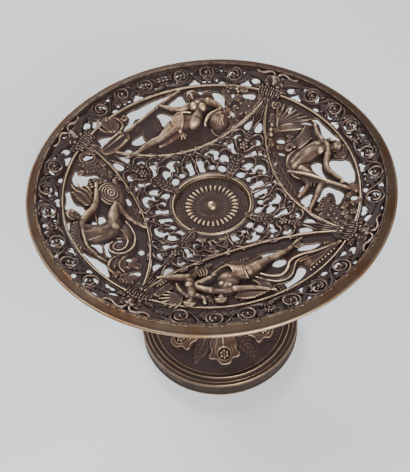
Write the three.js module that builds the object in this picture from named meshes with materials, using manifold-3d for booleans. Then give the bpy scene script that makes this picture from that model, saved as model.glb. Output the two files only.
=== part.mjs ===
// Openwork bronze tazza: a pierced, shallow dish on a turned stem and a round foot.
// Millimetres, +Z up, origin on the ground under the middle of the foot.
import * as THREE from "three";
import { mergeVertices } from "three/addons/utils/BufferGeometryUtils.js";
import Module from "manifold-3d";

const wasm = await Module();
wasm.setup();

// Dish
const RIM_R = 110; // outer radius of the dish
const RIM_Z = 162; // height of the rim's outer edge
const RIM_BAND_W = 6.6; // width of the plain band at the rim
const RIM_BAND_RISE = 1.2; // the band's inner edge stands this much above its outer edge
const FRAME_R = 88.8; // middle of the raised ring round the figure panels
const FRAME_Z_DROP = 5; // how far that ring lies below the rim
const RIB_W = 2.6; // width of the raised ring and of the strap arcs
const RIB_LIFT = 0.9; // how far the ribs stand above the castings beside them
const MEDAL_R = 24; // middle of the medallion's raised ring
const MEDAL_DROP = 22; // how far the medallion's ring lies below the rim
const MEDAL_RING_W = 2.8;
const MEDAL_RECESS = 2.7; // medallion plate below the top of its ring
const PLATE_T = 2; // thickness of the medallion plate
const CAST_T = 2.4; // thickness of the pierced castings
const SEAM = 0.3; // gap between neighbouring pieces

// Panels and knots
const PANELS = 4;
const TURN = THREE.MathUtils.degToRad(16); // direction of the first panel's middle
const STRAP_NEAR = 43; // least distance from the strap arcs to the middle of the dish
const KNOT_IN = 83; // the knot pieces, from their inner end
const KNOT_OUT = 101; // to their outer end
const KNOT_W = 10.4;
const KNOT_RISE = 0.8; // their top above the ribs
const MASK_AT = 95.6; // middle of the mask on each knot piece
const MASK_R = 4.2;
const MASK_RISE = 2.4; // the mask above its knot piece
const CLASP_R = 2.1; // small clasps on the medallion's ring

// Stem, from the dish down. Its three castings share what height the dish and the foot leave.
const COLLAR_INSET = 0.6; // collar inside the outer edge of the medallion's ring, which it carries
const COLLAR_H = 5;
const CALYX_H = 27;
const CALYX_TOP_R = 19;
const NECK_R = 7.5;
const KNOP_H = 42;
const KNOP_R = 15;
const SOCKET_H = 27.8;
const SOCKET_R = 12;

// Foot
const FOOT_R = 57; // outer radius of the foot
const PLINTH_H = 13; // height of the plain band round the foot
const PLINTH_T = 3.4;
const TORUS_R = 50.7; // thin bright moulding on the foot
const TORUS_RISE = 1.9; // its top above the plinth band
const FIELD_R = 45.7; // edge of the leaf-covered cone
const CONE_TOP_R = 13;
const CONE_H = 20; // rise of the leaf-covered cone
const CONE_T = 3;

// Fastening
const ROD_R = 2.6;
const ROD_HOLE_R = 3; // running through every piece of the stem
const BUTTON_R = 3; // domed head of the tie bolt, in the middle of the dish
const BUTTON_H = 1.8;
const WASHER_R = 10;
const WASHER_T = 1.6;
const NUT_R = 5.6;
const NUT_H = 4;
const ROD_END = 3; // thread left below the nut

// Levels worked out from the sizes above
const medalTop = RIM_Z - MEDAL_DROP;
const plateTop = medalTop - MEDAL_RECESS;
const collarTop = plateTop - PLATE_T - SEAM;
const calyxTop = collarTop - COLLAR_H - SEAM;
const coneBase = PLINTH_H - 1;
const coneTop = coneBase + CONE_H;
const stemFit = (calyxTop - coneTop - 3 * SEAM) / (CALYX_H + KNOP_H + SOCKET_H);
const calyxH = CALYX_H * stemFit;
const knopH = KNOP_H * stemFit;
const knopTop = calyxTop - calyxH - SEAM;
const socketTop = knopTop - knopH - SEAM;
const washerTop = coneTop - CONE_T - SEAM;
const nutTop = washerTop - WASHER_T - SEAM;
const rimIn = RIM_R - RIM_BAND_W;
const frameTop = RIM_Z - FRAME_Z_DROP;

const metal = (color, roughness) => new THREE.MeshStandardMaterial({ color, roughness, metalness: 1 });
const rimBronze = metal(0x80684a, 0.4);
const darkBronze = metal(0x453632, 0.5);
const figureBronze = metal(0x7c6a56, 0.38);
const ribBronze = metal(0x93805f, 0.32);
const stemBronze = metal(0x5a463c, 0.45);
const steel = metal(0x55504a, 0.5);

const root = new THREE.Group();

function piece(name, geometry, material) {
  const mesh = new THREE.Mesh(geometry, material.clone());
  mesh.name = name;
  root.add(mesh);
  return mesh;
}

// Height of the castings' upper face at radius r: a shallow bowl, steepest in its middle
function dishZ(r) {
  const span = [MEDAL_R, (MEDAL_R + FRAME_R) / 2, FRAME_R, rimIn];
  const mid = medalTop + (frameTop - medalTop) * 0.56;
  const level = [medalTop - RIB_LIFT, mid, frameTop - RIB_LIFT, RIM_Z - 0.6];
  for (let i = 1; i < span.length; i++) {
    if (r <= span[i] || i === span.length - 1) {
      const t = THREE.MathUtils.clamp((r - span[i - 1]) / (span[i] - span[i - 1]), 0, 1);
      return THREE.MathUtils.lerp(level[i - 1], level[i], t);
    }
  }
  return level[0];
}

// A closed outline in (radius, height), turned round the axis
function turned(outline, steps = 36) {
  const points = outline.map(([r, z]) => new THREE.Vector2(r, z));
  if (THREE.ShapeUtils.isClockWise(points)) points.reverse();
  points.push(points[0].clone());
  return new THREE.LatheGeometry(points, steps).rotateX(Math.PI / 2);
}

// A flat shape given the castings' thickness and bent to the dish
function dished(shape, lift = 0, thickness = CAST_T) {
  const geometry = new THREE.ExtrudeGeometry(shape, { depth: thickness, bevelEnabled: false, curveSegments: 8 });
  const position = geometry.getAttribute("position");
  for (let i = 0; i < position.count; i++) {
    const r = Math.hypot(position.getX(i), position.getY(i));
    position.setZ(i, position.getZ(i) - thickness + lift + dishZ(r));
  }
  return geometry;
}

function arc(cx, cy, r, from, to, steps) {
  const points = [];
  for (let i = 0; i <= steps; i++) {
    const a = from + ((to - from) * i) / steps;
    points.push(new THREE.Vector2(cx + r * Math.cos(a), cy + r * Math.sin(a)));
  }
  return points;
}

function circle(cx, cy, r, steps) {
  return arc(cx, cy, r, 0, 2 * Math.PI, steps).slice(0, -1);
}

function ringShape(rIn, rOut, steps, holes = []) {
  const shape = new THREE.Shape(circle(0, 0, rOut, steps));
  shape.holes.push(new THREE.Path(circle(0, 0, rIn, steps)));
  for (const hole of holes) shape.holes.push(new THREE.Path(hole));
  return shape;
}

function toSolid(geometry) {
  const bare = geometry.clone();
  for (const key of Object.keys(bare.attributes)) if (key !== "position") bare.deleteAttribute(key);
  const merged = mergeVertices(bare, 1e-4);
  const vertProperties = new Float32Array(merged.getAttribute("position").array);
  const triVerts = new Uint32Array(merged.index.array);
  return new wasm.Manifold(new wasm.Mesh({ numProp: 3, vertProperties, triVerts }));
}

function toGeometry(solid) {
  const mesh = solid.getMesh();
  const geometry = new THREE.BufferGeometry();
  geometry.setAttribute("position", new THREE.BufferAttribute(mesh.vertProperties, 3));
  geometry.setIndex(new THREE.BufferAttribute(mesh.triVerts, 1));
  geometry.computeVertexNormals();
  return geometry;
}

// Rim band, a turned strip with a rounded outer edge
piece("rim_band", turned([
  [rimIn, RIM_Z + RIM_BAND_RISE - CAST_T],
  [RIM_R - 0.7, RIM_Z - CAST_T],
  [RIM_R, RIM_Z - CAST_T + 0.7],
  [RIM_R, RIM_Z - 0.5],
  [RIM_R - 0.5, RIM_Z],
  [rimIn + 0.5, RIM_Z + RIM_BAND_RISE],
  [rimIn, RIM_Z + RIM_BAND_RISE - 0.4],
], 72), rimBronze);

// Where the straps cross, a quarter turn apart. A knot piece covers each crossing and carries a mask.
function knotShape(angle, grow) {
  const half = KNOT_W / 2 + grow;
  const from = KNOT_IN - grow + half;
  const to = KNOT_OUT + grow - half;
  const outline = [
    ...arc(to, 0, half, -Math.PI / 2, Math.PI / 2, 8),
    ...arc(from, 0, half, Math.PI / 2, (3 * Math.PI) / 2, 8),
  ];
  const middle = new THREE.Vector2();
  return new THREE.Shape(outline.map((point) => point.rotateAround(middle, angle)));
}
const knots = [];
for (let k = 0; k < PANELS; k++) knots.push(TURN + ((k + 0.5) * 2 * Math.PI) / PANELS);
const knotCutters = knots.map((angle) => (
  toSolid(new THREE.ExtrudeGeometry(knotShape(angle, SEAM), { depth: 2 * RIM_Z, bevelEnabled: false }))
));
function clearOfKnots(geometry) {
  let solid = toSolid(geometry);
  for (const cutter of knotCutters) solid = solid.subtract(cutter);
  return toGeometry(solid);
}

// Scroll border: one round opening in each scroll
const frameOut = FRAME_R + RIB_W / 2;
const frameIn = FRAME_R - RIB_W / 2;
const borderIn = frameOut + SEAM;
const borderOut = rimIn - SEAM;
const SCROLLS = 28;
const scrollR = (borderOut - borderIn) * 0.34;
const scrolls = [];
for (let i = 0; i < SCROLLS; i++) {
  const a = TURN + (2 * Math.PI * (i + 0.5)) / SCROLLS + Math.PI / SCROLLS;
  const mid = (borderIn + borderOut) / 2;
  scrolls.push(circle(mid * Math.cos(a), mid * Math.sin(a), scrollR, 10));
}
piece("scroll_border", clearOfKnots(dished(ringShape(borderIn, borderOut, 72, scrolls))), darkBronze);

// A panel is the lens between the frame ring and a strap arc. The arc runs from knot to knot
// and bows towards the middle, so its radius follows from the knots and its nearest point.
const panelOut = frameIn - SEAM;
const quarter = Math.PI / PANELS;
const knotIn = FRAME_R * Math.cos(quarter);
const knotSide = FRAME_R * Math.sin(quarter);
const strapBow = knotIn - STRAP_NEAR;
const strapR = (knotSide ** 2 + strapBow ** 2) / (2 * strapBow);
const strapCentre = STRAP_NEAR + strapR;
const sector = quarter - SEAM / (2 * FRAME_R);

// Distance from the middle at which an arc of this radius meets the edge of its own quarter
function arcAtSector(arcR) {
  const side = strapCentre * Math.sin(sector);
  return strapCentre * Math.cos(sector) - Math.sqrt(Math.max(0, arcR ** 2 - side ** 2));
}
// Angle and distance of the arc's end: on the frame ring, or on the quarter's edge before it
function arcEnd(arcR) {
  const cosine = (panelOut ** 2 + strapCentre ** 2 - arcR ** 2) / (2 * panelOut * strapCentre);
  const angle = Math.acos(cosine);
  return angle < sector ? [angle, panelOut] : [sector, arcAtSector(arcR)];
}
function strapSide(mid, arcR, steps = 16) {
  const [angle, r] = arcEnd(arcR);
  const bow = Math.atan2(r * Math.sin(angle), strapCentre - r * Math.cos(angle));
  const cx = strapCentre * Math.cos(mid);
  const cy = strapCentre * Math.sin(mid);
  return arc(cx, cy, arcR, mid + Math.PI - bow, mid + Math.PI + bow, steps);
}

// Arabesque field: reaches from the medallion to the knots between the panels
const fieldIn = MEDAL_R + MEDAL_RING_W / 2 + SEAM;
const fieldSide = strapR + RIB_W / 2 + SEAM;
const fieldOutline = [];
for (let k = 0; k < PANELS; k++) {
  fieldOutline.push(...strapSide(TURN + (k * 2 * Math.PI) / PANELS, fieldSide).reverse());
}
const fieldShape = new THREE.Shape(fieldOutline);
fieldShape.holes.push(new THREE.Path(circle(0, 0, fieldIn, 48)));
function pierce(shape, r, a, size, steps) {
  shape.holes.push(new THREE.Path(circle(r * Math.cos(a), r * Math.sin(a), size, steps)));
}
const FIELD_HOLES = 24;
const holeRow = (STRAP_NEAR - fieldIn) / 2;
for (let i = 0; i < FIELD_HOLES; i++) {
  pierce(fieldShape, fieldIn + holeRow * 0.85, TURN + (2 * Math.PI * (i + 0.5)) / FIELD_HOLES, holeRow * 0.32, 8);
}
const FIELD_ROWS = 5;
const firstRow = fieldIn + holeRow * 2.1;
const rowStep = (arcAtSector(fieldSide) - firstRow) / (FIELD_ROWS + 1);
for (const a of knots) {
  for (let row = 0; row < FIELD_ROWS; row++) {
    const r = firstRow + row * rowStep;
    const half = Math.hypot(strapCentre - r * Math.cos(quarter), r * Math.sin(quarter)) - fieldSide;
    const size = Math.min(rowStep * 0.38, half * 0.33);
    if (half > rowStep) {
      pierce(fieldShape, r, a - (half * 0.5) / r, size, 8);
      pierce(fieldShape, r, a + (half * 0.5) / r, size, 8);
    } else {
      pierce(fieldShape, r, a, size, 8);
    }
  }
}
piece("arabesque_field", clearOfKnots(dished(fieldShape)), darkBronze);

// Strap arcs and the figure reliefs that they frame
const panelNames = ["right", "back", "left", "front"];
// Gaps round each figure: how far along the panel, how far across it, and radius against its width there
const RELIEF_GAPS = {
  back: [[0.62, 0.46, 0.14], [0.45, 0.84, 0.1], [0.36, 0.42, 0.12], [0.14, 0.62, 0.11], [-0.1, 0.88, 0.08],
    [-0.5, 0.72, 0.13], [-0.56, 0.36, 0.12], [-0.82, 0.5, 0.17]],
  right: [[0.8, 0.5, 0.17], [0.52, 0.78, 0.1], [0.2, 0.86, 0.09], [0.3, 0.3, 0.1], [-0.12, 0.64, 0.1],
    [-0.3, 0.84, 0.11], [-0.46, 0.54, 0.12], [-0.42, 0.2, 0.1]],
  left: [[0.72, 0.52, 0.17], [0.5, 0.82, 0.11], [0.36, 0.36, 0.1], [0.24, 0.68, 0.11], [-0.02, 0.66, 0.09],
    [-0.1, 0.9, 0.06], [-0.5, 0.74, 0.14], [-0.74, 0.5, 0.15], [-0.2, 0.14, 0.06]],
  front: [[0.8, 0.46, 0.17], [0.44, 0.86, 0.09], [0.3, 0.24, 0.1], [0.16, 0.86, 0.09], [0.26, 0.5, 0.08],
    [-0.8, 0.48, 0.15], [-0.5, 0.2, 0.09]],
};
for (let k = 0; k < PANELS; k++) {
  const mid = TURN + (k * 2 * Math.PI) / PANELS;
  const near = strapSide(mid, strapR + RIB_W / 2);
  const far = strapSide(mid, strapR - RIB_W / 2).reverse();
  const strap = new THREE.Shape([...near, ...far]);
  piece(`strap_arc_${panelNames[k]}`, clearOfKnots(dished(strap, RIB_LIFT, CAST_T + RIB_LIFT)), ribBronze);
  const ring = new THREE.Shape([
    ...arc(0, 0, frameOut, mid - quarter, mid + quarter, 18),
    ...arc(0, 0, frameIn, mid + quarter, mid - quarter, 18),
  ]);
  piece(`frame_arc_${panelNames[k]}`, clearOfKnots(dished(ring, RIB_LIFT, CAST_T + RIB_LIFT)), ribBronze);

  const side = strapR - RIB_W / 2 - SEAM;
  const [corner] = arcEnd(side);
  const outer = arc(0, 0, panelOut, mid - corner, mid + corner, 20);
  const relief = new THREE.Shape([...outer, ...strapSide(mid, side).slice(1, -1)]);
  for (const [along, across, size] of RELIEF_GAPS[panelNames[k]]) {
    const turn = along * corner;
    const reach = strapCentre * Math.sin(turn);
    const near = strapCentre * Math.cos(turn) - Math.sqrt(side ** 2 - reach ** 2);
    const depth = panelOut - near;
    pierce(relief, near + across * depth, mid + turn, size * depth, 12);
  }
  piece(`figure_relief_${panelNames[k]}`, clearOfKnots(dished(relief)), figureBronze);
}

// Knot pieces, each a plate with a domed mask on it
const knotLift = RIB_LIFT + KNOT_RISE;
const maskBase = dishZ(MASK_AT) + knotLift;
knots.forEach((angle, k) => {
  const face = turned([
    [0, maskBase - CAST_T],
    [MASK_R, maskBase - CAST_T],
    [MASK_R, maskBase + MASK_RISE * 0.3],
    [MASK_R * 0.75, maskBase + MASK_RISE * 0.75],
    [MASK_R * 0.35, maskBase + MASK_RISE],
    [0, maskBase + MASK_RISE],
  ], 16);
  const mask = toSolid(face.translate(MASK_AT * Math.cos(angle), MASK_AT * Math.sin(angle), 0));
  const plate = toSolid(dished(knotShape(angle, 0), knotLift, CAST_T + knotLift));
  piece(`knot_mask_${k + 1}`, toGeometry(plate.add(mask)), figureBronze);
});

// Medallion: ring, four clasps on it, and the recessed plate
const ringOut = MEDAL_R + MEDAL_RING_W / 2;
const ringIn = MEDAL_R - MEDAL_RING_W / 2;
piece("medallion_ring", turned([
  [ringIn, plateTop - PLATE_T],
  [ringOut, plateTop - PLATE_T],
  [ringOut, medalTop - 0.6],
  [MEDAL_R + 0.6, medalTop],
  [MEDAL_R - 0.6, medalTop],
  [ringIn, medalTop - 0.6],
], 48), ribBronze);
knots.forEach((a, k) => {
  const base = medalTop + SEAM;
  const dome = turned([[0, base], [CLASP_R, base], [CLASP_R * 0.8, base + 0.8], [0, base + 1.3]], 12);
  piece(`medallion_clasp_${k + 1}`, dome.translate(MEDAL_R * Math.cos(a), MEDAL_R * Math.sin(a), 0), ribBronze);
});
piece("medallion_plate", turned([
  [ROD_HOLE_R, plateTop - PLATE_T],
  [ringIn - SEAM, plateTop - PLATE_T],
  [ringIn - SEAM, plateTop - 0.4],
  [MEDAL_R * 0.68, plateTop - 0.4],
  [MEDAL_R * 0.45, plateTop],
  [ROD_HOLE_R, plateTop],
], 48), figureBronze);

// Tie bolt: domed head in the dish, rod down through the stem to the nut
piece("tie_bolt", turned([
  [0, nutTop - NUT_H - ROD_END],
  [ROD_R, nutTop - NUT_H - ROD_END],
  [ROD_R, plateTop + SEAM],
  [BUTTON_R + 1, plateTop + SEAM],
  [BUTTON_R, plateTop + SEAM + BUTTON_H * 0.5],
  [BUTTON_R * 0.6, plateTop + SEAM + BUTTON_H * 0.9],
  [0, plateTop + SEAM + BUTTON_H],
], 24), ribBronze);

// Stem
const collarR = ringOut - COLLAR_INSET;
piece("dish_collar", turned([
  [ROD_HOLE_R, collarTop - COLLAR_H],
  [collarR - 3, collarTop - COLLAR_H],
  [collarR, collarTop - COLLAR_H + 2],
  [collarR, collarTop],
  [ROD_HOLE_R, collarTop],
]), stemBronze);
piece("stem_calyx", turned([
  [ROD_HOLE_R, calyxTop - calyxH],
  [NECK_R, calyxTop - calyxH],
  [NECK_R, calyxTop - calyxH + 3],
  [NECK_R + 3, calyxTop - calyxH * 0.6],
  [CALYX_TOP_R - 3, calyxTop - calyxH * 0.2],
  [CALYX_TOP_R, calyxTop - 1],
  [CALYX_TOP_R, calyxTop],
  [ROD_HOLE_R, calyxTop],
]), stemBronze);
piece("stem_knop", turned([
  [ROD_HOLE_R, knopTop - knopH],
  [NECK_R, knopTop - knopH],
  [NECK_R + 2, knopTop - knopH * 0.8],
  [KNOP_R - 1, knopTop - knopH * 0.5],
  [KNOP_R, knopTop - knopH * 0.36],
  [KNOP_R - 2, knopTop - knopH * 0.2],
  [NECK_R + 1, knopTop - knopH * 0.08],
  [NECK_R + 1, knopTop],
  [ROD_HOLE_R, knopTop],
]), stemBronze);
piece("stem_socket", turned([
  [ROD_HOLE_R, coneTop + SEAM],
  [SOCKET_R, coneTop + SEAM],
  [SOCKET_R, coneTop + SEAM + 3],
  [NECK_R + 1, coneTop + (socketTop - coneTop) * 0.5],
  [NECK_R, socketTop - 2],
  [NECK_R + 2, socketTop],
  [ROD_HOLE_R, socketTop],
]), stemBronze);

// Foot: leaf-covered cone with its mouldings, and the plain band that it sits on
const bandIn = FOOT_R - PLINTH_T;
piece("foot_cone", turned([
  [ROD_HOLE_R, coneTop - CONE_T],
  [CONE_TOP_R - 1, coneTop - CONE_T],
  [FIELD_R * 0.55, coneBase + CONE_H * 0.36 - CONE_T],
  [FIELD_R, coneBase - CONE_T],
  [bandIn - SEAM, coneBase - CONE_T],
  [bandIn - SEAM, PLINTH_H - 0.6],
  [TORUS_R + 1.5, PLINTH_H],
  [TORUS_R + 0.7, PLINTH_H + TORUS_RISE],
  [TORUS_R - 0.7, PLINTH_H + TORUS_RISE],
  [TORUS_R - 1.5, PLINTH_H],
  [FIELD_R, coneBase],
  [FIELD_R * 0.55, coneBase + CONE_H * 0.36],
  [CONE_TOP_R, coneTop - 1],
  [CONE_TOP_R - 1, coneTop],
  [ROD_HOLE_R, coneTop],
]), darkBronze);
piece("foot_band", turned([
  [bandIn, 0],
  [FOOT_R - 0.5, 0],
  [FOOT_R, 0.5],
  [FOOT_R, PLINTH_H - 0.5],
  [FOOT_R - 0.5, PLINTH_H],
  [bandIn, PLINTH_H],
], 72), rimBronze);
piece("foot_washer", turned([
  [ROD_HOLE_R, washerTop - WASHER_T],
  [WASHER_R, washerTop - WASHER_T],
  [WASHER_R, washerTop],
  [ROD_HOLE_R, washerTop],
], 24), steel);
piece("foot_nut", turned([
  [ROD_HOLE_R, nutTop - NUT_H],
  [NUT_R, nutTop - NUT_H],
  [NUT_R, nutTop],
  [ROD_HOLE_R, nutTop],
], 6), steel);

export default root;
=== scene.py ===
# %% [markdown]
# An openwork bronze tazza: a pierced dish on a stem and a round foot.
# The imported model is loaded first. It fixes every size and place, and the looks are built around it.

# %% Load the frame
import bpy
import bmesh
import math
import numpy as np
from mathutils import Matrix, Vector


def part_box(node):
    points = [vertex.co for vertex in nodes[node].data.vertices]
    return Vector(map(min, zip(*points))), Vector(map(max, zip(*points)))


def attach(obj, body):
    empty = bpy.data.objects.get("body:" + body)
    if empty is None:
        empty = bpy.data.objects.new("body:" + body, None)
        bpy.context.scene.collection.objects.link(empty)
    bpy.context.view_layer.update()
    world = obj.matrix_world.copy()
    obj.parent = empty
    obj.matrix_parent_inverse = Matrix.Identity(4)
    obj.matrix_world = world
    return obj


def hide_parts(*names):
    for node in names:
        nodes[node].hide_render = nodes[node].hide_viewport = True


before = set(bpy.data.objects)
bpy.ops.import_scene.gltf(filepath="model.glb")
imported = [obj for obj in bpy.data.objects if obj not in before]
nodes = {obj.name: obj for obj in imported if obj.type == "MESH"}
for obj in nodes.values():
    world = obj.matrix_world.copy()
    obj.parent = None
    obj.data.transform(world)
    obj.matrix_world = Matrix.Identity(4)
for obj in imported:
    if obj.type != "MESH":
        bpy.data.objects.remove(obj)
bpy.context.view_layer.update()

# %% [markdown]
# The ornament is laid out in millimetres, because a founder's drawing is. Every size that it must fit
# is read from the frame: how far a node reaches from the axis, how high it stands, which way it lies.

# %% Measures taken from the frame
MM = 0.001


def corners(node):
    """A node's vertices in millimetres, one row each."""
    return np.array([v.co for v in nodes[node].data.vertices]) / MM


def reach(node):
    """Least and greatest distance of a node from the axis, in millimetres."""
    away = np.hypot(*corners(node)[:, :2].T)
    return float(away.min()), float(away.max())


def levels(node):
    """Lowest and highest level of a node, in millimetres."""
    low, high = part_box(node)
    return low.z / MM, high.z / MM


def heading(node):
    """The direction of a small round node from the axis, in degrees."""
    low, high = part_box(node)
    return math.degrees(math.atan2(low.y + high.y, low.x + high.x))


rim_in, rim_out = reach("rim_band")
frame_in, frame_out = reach("frame_arc_back")
medal_in, medal_out = reach("medallion_ring")
strap_in = reach("strap_arc_back")[0]
RIB = frame_out - frame_in
SEAM = medal_in - reach("medallion_plate")[1]
CAST_T = 2.4
KNOTS = [heading(f"medallion_clasp_{i}") for i in (1, 2, 3, 4)]
PANELS = {name: knot - 45 for name, knot in zip(("right", "back", "left", "front"), KNOTS)}
print("rim", rim_in, rim_out, "frame", frame_in, frame_out, "medallion", medal_in, medal_out)
print("panel headings", {name: round(turn, 1) for name, turn in PANELS.items()})

# %% [markdown]
# The dish is a shallow bowl that flares at its border. Its upper face runs through the levels of the
# pieces in it, less what each stands proud. The corners between those levels are eased, as a turned
# wooden pattern's would be.

# %% Height of the dish
RING_PROUD = 0.9
RIM_PROUD = 1.8
FIELD_DIP = 6.6
BOWL = {
    medal_in: levels("medallion_ring")[1] - RING_PROUD,
    (frame_in + medal_out) / 2: levels("arabesque_field")[1] - FIELD_DIP,
    (frame_in + frame_out) / 2: levels("frame_arc_back")[1] - RING_PROUD,
    rim_in: levels("rim_band")[1] - RIM_PROUD,
}
EASE = 5.0


def dish_height(away):
    """Level of the dish's face at these distances from the axis."""
    steps = np.linspace(-EASE, EASE, 5)
    return np.mean([np.interp(away + s, list(BOWL), list(BOWL.values())) for s in steps], axis=0)


print("dish levels", {round(r, 1): round(float(dish_height(r)), 1) for r in (25, 43, 60, 88, 100)})

# %% [markdown]
# The camera stands where the photographer stood: a long lens, looking steeply down into the dish.
# Its place is given from the middle of the rim, in rim radii, which is how it was found.

# %% Camera
RIM_Z = (levels("rim_band")[1] - 1.2) * MM
LENS_PX = 850.0
LONG_SIDE_PX = 472.0
SENSOR_MM = 36.0
STAND_IN_RADII = (0.0, -3.1246, 3.3837)
PITCH, YAW, ROLL = (math.radians(a) for a in (51.10, -0.96, -4.68))
ahead = Vector((math.sin(YAW) * math.cos(PITCH), math.cos(YAW) * math.cos(PITCH), -math.sin(PITCH)))
level = Vector((math.cos(YAW), -math.sin(YAW), 0.0))
above = level.cross(ahead)
right = math.cos(ROLL) * level + math.sin(ROLL) * above
up = math.cos(ROLL) * above - math.sin(ROLL) * level
camera_data = bpy.data.cameras.new("camera")
camera = bpy.data.objects.new("camera", camera_data)
bpy.context.scene.collection.objects.link(camera)
camera_data.sensor_width = SENSOR_MM
camera_data.lens = LENS_PX / LONG_SIDE_PX * SENSOR_MM
place = Vector(STAND_IN_RADII) * rim_out * MM + Vector((0.0, 0.0, RIM_Z))
camera.matrix_world = Matrix.Translation(place) @ Matrix((right, up, -ahead)).transposed().to_4x4()
bpy.context.scene.camera = camera
print("camera at", tuple(round(v, 4) for v in place))

# %% [markdown]
# A pale floor, a pale sky and soft lamps stand in for the plain studio. The key lamp is high at the
# back left, so it rakes over the relief and every raised edge gets a lit side and a dark side. Two wide
# lamps in front keep the near side of the dish and the floor before it from going grey.

# %% Floor and lights
def stage_floor(size, colour):
    """A square floor of matt paper, size to each side of the middle."""
    mesh = bpy.data.meshes.new("floor")
    shape = bmesh.new()
    bmesh.ops.create_grid(shape, x_segments=1, y_segments=1, size=size)
    shape.to_mesh(mesh)
    shape.free()
    floor = bpy.data.objects.new("floor", mesh)
    bpy.context.scene.collection.objects.link(floor)
    material = bpy.data.materials.new("floor_paper")
    material.use_nodes = True
    shader = material.node_tree.nodes["Principled BSDF"]
    shader.inputs["Base Color"].default_value = colour
    shader.inputs["Roughness"].default_value = 0.7
    mesh.materials.append(material)


def soft_lamp(name, place, size, power, aim=(0, 0, 0.12)):
    """A square lamp in metres and watts, turned to a point on or near the object."""
    data = bpy.data.lights.new(name, "AREA")
    data.size = size
    data.energy = power
    lamp = bpy.data.objects.new(name, data)
    bpy.context.scene.collection.objects.link(lamp)
    lamp.location = place
    lamp.rotation_euler = (Vector(aim) - Vector(place)).to_track_quat("-Z", "Y").to_euler()


stage_floor(4.0, (0.66, 0.68, 0.7, 1))
soft_lamp("key", (-0.3, 1.2, 1.0), 0.6, 18)
soft_lamp("top", (-0.6, 0.1, 1.3), 0.5, 8)
soft_lamp("front_wash", (0.4, -1.3, 1.2), 1.0, 28, (0.25, -0.5, 0))
soft_lamp("floor_wash", (0.3, -0.8, 0.5), 0.6, 9, (0.15, -0.5, 0))
world = bpy.data.worlds.new("sky")
world.use_nodes = True
world.node_tree.nodes["Background"].inputs["Color"].default_value = (0.62, 0.64, 0.66, 1)
world.node_tree.nodes["Background"].inputs["Strength"].default_value = 0.5
bpy.context.scene.world = world

# %% [markdown]
# Cast bronze is never one colour. A dark brown patina lies in the hollows, and hands and polishing cloths
# rub it away on what stands out. Each modelled piece carries a value at every point that holds this wear
# together with painted light, and the finish reads it: low is the patina darkened by painted shade, high is
# the bare metal lightened by a painted highlight. Noise mottles both, a fine bump gives the
# sand-cast grain, and a second bump gives the hollows the dents of a punched ground.
# A finish is a net of nodes, so it is written as one: each node is added with what goes into it.

# %% Bronze finishes
GRAIN_SCALE = 1600.0
MOTTLE_SCALE = 220.0
PATCH_SCALE = 45.0
DENT_SCALE = 850.0
COPPER_TINT = (0.9, 0.66, 0.54, 1)


def bronze(name, hollow, middle, worn_and_lit, rough, metal=0.95, blush=0.0, punch=0.0):
    """A finish from the colour in the hollows with painted shade, the middle tone and the rubbed metal with a
    painted highlight.
    """
    material = bpy.data.materials.new(f"worn_{name}")
    material.use_nodes = True
    tree = material.node_tree

    def fill(node, inputs):
        """Gives a node's inputs a number, a colour or another node's output."""
        for socket, value in inputs.items():
            if isinstance(value, bpy.types.NodeSocket):
                tree.links.new(value, node.inputs[socket])
            else:
                node.inputs[socket].default_value = value

    def add(kind, inputs, **settings):
        node = tree.nodes.new(f"ShaderNode{kind}")
        for setting, value in settings.items():
            setattr(node, setting, value)
        fill(node, inputs)
        return node

    place = tree.nodes.new("ShaderNodeTexCoord").outputs["Object"]

    def cloud(scale, detail):
        return add("TexNoise", {"Vector": place, "Scale": scale, "Detail": detail}).outputs["Fac"]

    # The value read here is real patina and rubbing, plus painted shade in hollows and on the low ground and
    # a painted highlight on proud and tall parts.
    wear_and_shade = add("Attribute", {}, attribute_name="wear_and_shade").outputs["Fac"]
    mottle = add("Math", {0: cloud(MOTTLE_SCALE, 5), 1: 0.45, 2: -0.22}, operation="MULTIPLY_ADD").outputs[0]
    rubbed_and_lit = add("Math", {0: wear_and_shade, 1: mottle}, operation="ADD", use_clamp=True).outputs[0]
    tint = add("ValToRGB", {"Fac": rubbed_and_lit})
    ramp = tint.color_ramp.elements
    ramp[0].position, ramp[0].color = 0.22, (*hollow, 1)
    ramp[1].position, ramp[1].color = 0.98, (*worn_and_lit, 1)
    ramp.new(0.6).color = (*middle, 1)
    patch = add("MapRange", {
        "Value": cloud(PATCH_SCALE, 3), "From Min": 0.45, "From Max": 0.7, "To Max": blush,
    })
    red = add("Mix", {"Factor": patch.outputs["Result"], "A": tint.outputs["Color"], "B": COPPER_TINT},
              data_type="RGBA", blend_type="MULTIPLY")
    matt = add("MapRange", {"Value": rubbed_and_lit, "To Min": rough + 0.3, "To Max": rough - 0.04})
    bare = add("MapRange", {"Value": rubbed_and_lit, "To Min": 0.2, "To Max": metal})
    grit = add("Bump", {"Height": cloud(GRAIN_SCALE, 2), "Strength": 0.3, "Distance": 0.0002})
    dents = add("TexVoronoi", {"Vector": place, "Scale": DENT_SCALE})
    unworn = add("MapRange", {
        "Value": wear_and_shade, "From Min": 0.2, "From Max": 0.5, "To Min": punch, "To Max": 0.0,
    })
    punched = add("Bump", {
        "Height": dents.outputs["Distance"], "Strength": unworn.outputs["Result"], "Distance": 0.0006,
        "Normal": grit.outputs["Normal"],
    })
    fill(tree.nodes["Principled BSDF"], {
        "Base Color": red.outputs["Result"], "Roughness": matt.outputs["Result"],
        "Metallic": bare.outputs["Result"], "Normal": punched.outputs["Normal"], "Specular IOR Level": 0.22,
    })
    return material


# The first colour of each finish is the patina darkened as painted shade, the last the rubbed metal lightened
# as a painted highlight.
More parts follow.
